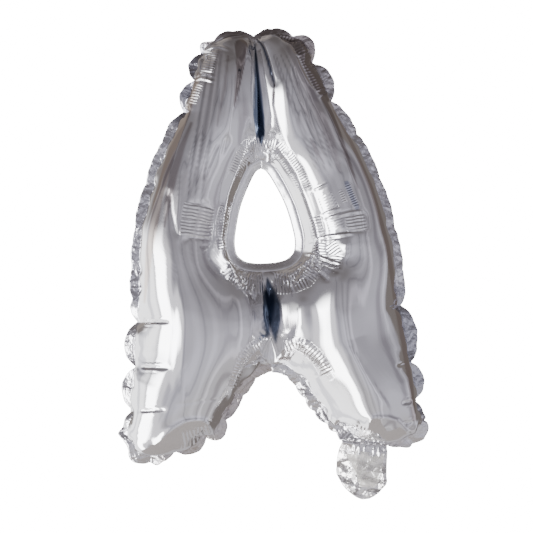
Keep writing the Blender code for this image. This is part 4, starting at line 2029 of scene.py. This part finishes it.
@dataclass(frozen=True)
class Studio:
    """Floor, soft surroundings and camera.

    Attributes:
        floor_drop: how far the floor is below the hanging point.
        floor_reach: radius of the floor.
        floor_colour: its colour.
        ground: brightness of the white ground that the camera sees.
        room: the room's colour by the sine of the elevation, from straight down to straight up.
        boxes: the patches in the room, each laid over those before it.
        fill: power of the light on the floor.
        fill_size: its diameter.
        fill_height: how far it is above the hanging point.
        aim: the point that the picture's middle shows.
        pixel: metres to a pixel at that point.
        distance: from the camera to it.
        azimuth: degrees that the camera stands to the letter's right.
        elevation: degrees that it looks down by.
        roll: how far the letter's top leans to the left in the picture, in degrees.
        sensor: width of the camera's sensor in millimetres.
    """

    floor_drop: float = 1.25
    floor_reach: float = 0.60
    floor_colour: Triple = (0.80, 0.755, 0.72)
    ground: float = 18.0
    room: tuple[tuple[float, Triple], ...] = (
        (-0.60, (0.68, 0.66, 0.69)),
        (-0.30, (0.72, 0.705, 0.785)),
        (-0.12, (0.70, 0.685, 0.77)),
        (0.00, (0.58, 0.565, 0.635)),
        (0.14, (0.43, 0.415, 0.465)),
        (0.45, (0.31, 0.295, 0.325)),
        (0.75, (0.22, 0.205, 0.215)),
        (1.00, (0.14, 0.125, 0.125)),
    )
    boxes: tuple[SoftBox, ...] = (
        SoftBox((-150, -80), (-0.90, 0.30), (2.8, 2.78, 2.82), 7, 9),
        SoftBox((-180, -136), (0.02, 0.90), (0.42, 0.375, 0.345), 5, 8),
        SoftBox((-136, -112), (0.30, 0.95), (0.30, 0.27, 0.26), 2, 6),
        SoftBox((-108, -98), (-0.95, 0.70), (0.60, 0.60, 0.63), 2, 1, "MULTIPLY"),
        SoftBox((-76, -48), (-0.96, 0.22), (10.0, 10.0, 10.2), 2, 8),
        SoftBox((-49, -34), (-0.90, 0.25), (1.25, 1.22, 1.29), 5, 8),
        SoftBox((-27, -21), (-0.95, 0.55), (0.74, 0.74, 0.75), 3, 4, "MULTIPLY"),
        SoftBox((-9, 3), (-0.95, 0.35), (1.18, 1.18, 1.19), 4, 8, "MULTIPLY"),
        SoftBox((9, 13), (-0.95, 0.55), (0.72, 0.72, 0.73), 1, 4, "MULTIPLY"),
        SoftBox((23, 31), (-0.95, 0.45), (1.22, 1.22, 1.23), 3, 6, "MULTIPLY"),
        SoftBox((38, 42), (-0.95, 0.60), (0.75, 0.74, 0.75), 1, 4, "MULTIPLY"),
        SoftBox((47, 54), (-0.95, 0.65), (1.45, 1.44, 1.46), 2, 4, "MULTIPLY"),
        SoftBox((72, 84), (-0.95, 0.60), (0.66, 0.64, 0.65), 4, 4, "MULTIPLY"),
        SoftBox((90, 95), (-0.95, 0.60), (1.35, 1.35, 1.36), 2, 4, "MULTIPLY"),
        SoftBox((102, 160), (-0.60, 0.85), (0.22, 0.195, 0.185), 3, 6),
    )
    fill: float = 60.0
    fill_size: float = 3.0
    fill_height: float = 2.4
    aim: Vector = field(default_factory=lambda: Vector((0.0, 0.0, -0.1974)))
    pixel: float = 0.83 * MM
    distance: float = 1.7
    azimuth: float = -5.0
    elevation: float = -2.0
    roll: float = 3.1
    sensor: float = 36.0

    def build(self) -> None:
        """Makes all of it."""
        self._floor()
        self._surroundings()
        self._fill()
        self._camera()

    def _floor(self) -> None:
        """A plain pale floor well below the hanging letter."""
        bm = bmesh.new()
        bmesh.ops.create_circle(bm, cap_ends=True, segments=96, radius=self.floor_reach)
        bmesh.ops.translate(bm, vec=(0.0, 0.0, -self.floor_drop), verts=bm.verts)
        mesh = as_mesh(bm, "floor")
        material = bpy.data.materials.new("pale_floor")
        material.use_nodes = True
        shader = material.node_tree.nodes["Principled BSDF"]
        shader.inputs["Base Color"].default_value = (*self.floor_colour, 1.0)
        shader.inputs["Roughness"].default_value = 0.7
        mesh.materials.append(material)
        floor = add_object("floor", mesh)

    def _surroundings(self) -> None:
        """A white ground for the camera, and for the foil a grey room with soft lights."""
        world = bpy.data.worlds.new("studio")
        bpy.context.scene.world = world
        world.use_nodes = True
        bench = Bench(world.node_tree)
        way = bench.node("ShaderNodeTexCoord", output="Generated")
        parts = bench.node("ShaderNodeSeparateXYZ", None, {"Vector": way})
        x, y, z = (Wire(bench, parts.outputs[i]) for i in range(3))
        turn = bench.node("ShaderNodeMath", {"operation": "ARCTAN2"}, {0: x, 1: y * -1.0}, output=0)
        turn = turn * (180 / math.pi)
        stops = tuple((0.5 + 0.5 * height, light) for height, light in self.room)
        light = bench.node("ShaderNodeValToRGB", {"stops": stops}, {0: z * 0.5 + 0.5}, output="Color")
        for box in self.boxes:
            light = bench.mix(box.cover(turn, z), light, (*box.light, 1.0), box.blend)
        room = bench.node("ShaderNodeBackground", None, {"Color": light, "Strength": 1.0}, output=0)
        white = {"Color": (1.0, 1.0, 1.0, 1.0), "Strength": self.ground}
        ground = bench.node("ShaderNodeBackground", None, white, output=0)
        seen = bench.node("ShaderNodeLightPath", output="Is Camera Ray")
        surface = bench.node("ShaderNodeMixShader", None, {0: seen, 1: room, 2: ground}, output=0)
        bench.node("ShaderNodeOutputWorld", None, {"Surface": surface})

    def _fill(self) -> None:
        """A broad light over the floor that the foil doesn't mirror."""
        lamp = bpy.data.lights.new("floor_fill", "AREA")
        lamp.shape = "DISK"
        lamp.size = self.fill_size
        lamp.energy = self.fill
        holder = add_object("floor_fill", lamp)
        holder.location = (0.0, 0.0, self.fill_height)
        holder.visible_glossy = False

    def _camera(self) -> None:
        """The photograph's view: nearly straight on, a little from the left, the letter leaning."""
        camera = bpy.data.cameras.new("camera")
        camera.sensor_width = self.sensor
        camera.lens = self.sensor * self.distance / (PHOTO_SIDE * self.pixel)
        holder = add_object("camera", camera)
        turn = math.radians(self.azimuth)
        rise = math.radians(self.elevation)
        away = Vector((math.sin(turn) * math.cos(rise), -math.cos(turn) * math.cos(rise), math.sin(rise)))
        upright = (-away).to_track_quat("-Z", "Y").to_matrix().to_4x4()
        roll = Matrix.Rotation(math.radians(-self.roll), 4, "Z")
        holder.matrix_world = Matrix.Translation(self.aim + away * self.distance) @ upright @ roll
        bpy.context.scene.camera = holder


def main() -> None:
    """Builds the letter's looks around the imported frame."""
    logging.basicConfig(level=logging.INFO, format="%(name)s: %(message)s")
    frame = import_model()
    Studio().build()
    joint = next(joint for joint in frame["joints"] if joint["name"] == "tail_fold")
    lean = math.asin(-joint["axis"][2])
    half, cut = HalfLetter(BLOWN), HalfLetter(CUT_FLAT)
    seal = BlownSeal(half)
    tail = FillerTail(fold=Vector(joint["pos_m"]), lean=lean)
    foil = FoilFinish("mirror_foil", drawn=0.2, blown=True).build()
    crushed = FoilFinish("crushed_foil", roughness=0.12, crease=0.9).build()
    ring_foil = FoilFinish("ring_foil", roughness=0.16, crease=0.1, painted_light=False).build()
    silver, tarnish = (0.96, 0.95, 0.94), (0.92, 0.90, 0.87)
    tail_foil = FoilFinish("tail_foil", silver, tarnish, 0.08, crease=1.3, milky=0.15).build()
    clear = ClearFilm().build()
    front = FoilPanel(Side.FRONT, half, cut, seal).build(foil)
    back = FoilPanel(Side.BACK, half, cut, seal).build(foil)
    pieces = (
        (front, "envelope", "front_panel", "silver_foil"),
        (back, "envelope", "back_panel", "silver_foil"),
        (OuterMargin(seal, tail).build(crushed), "envelope", "outer_margin", "margin_foil"),
        (CounterMargin(half).build(ring_foil), "envelope", "counter_margin", "margin_foil"),
        (tail.build(LEAF, tail_foil), "tail", "tail_leaf", "margin_foil"),
        (tail.build(NECK, crushed), "tail", "filler_neck", "margin_foil"),
        (tail.build(STRIP, clear), "tail", "valve_film", "valve_film"),
    )
    for piece, body, node, slot in pieces:
        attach(piece, body)
        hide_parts(node)
        log.info("%s: %d vertices", piece.name, len(piece.data.vertices))


if __name__ == "__main__":
    main()
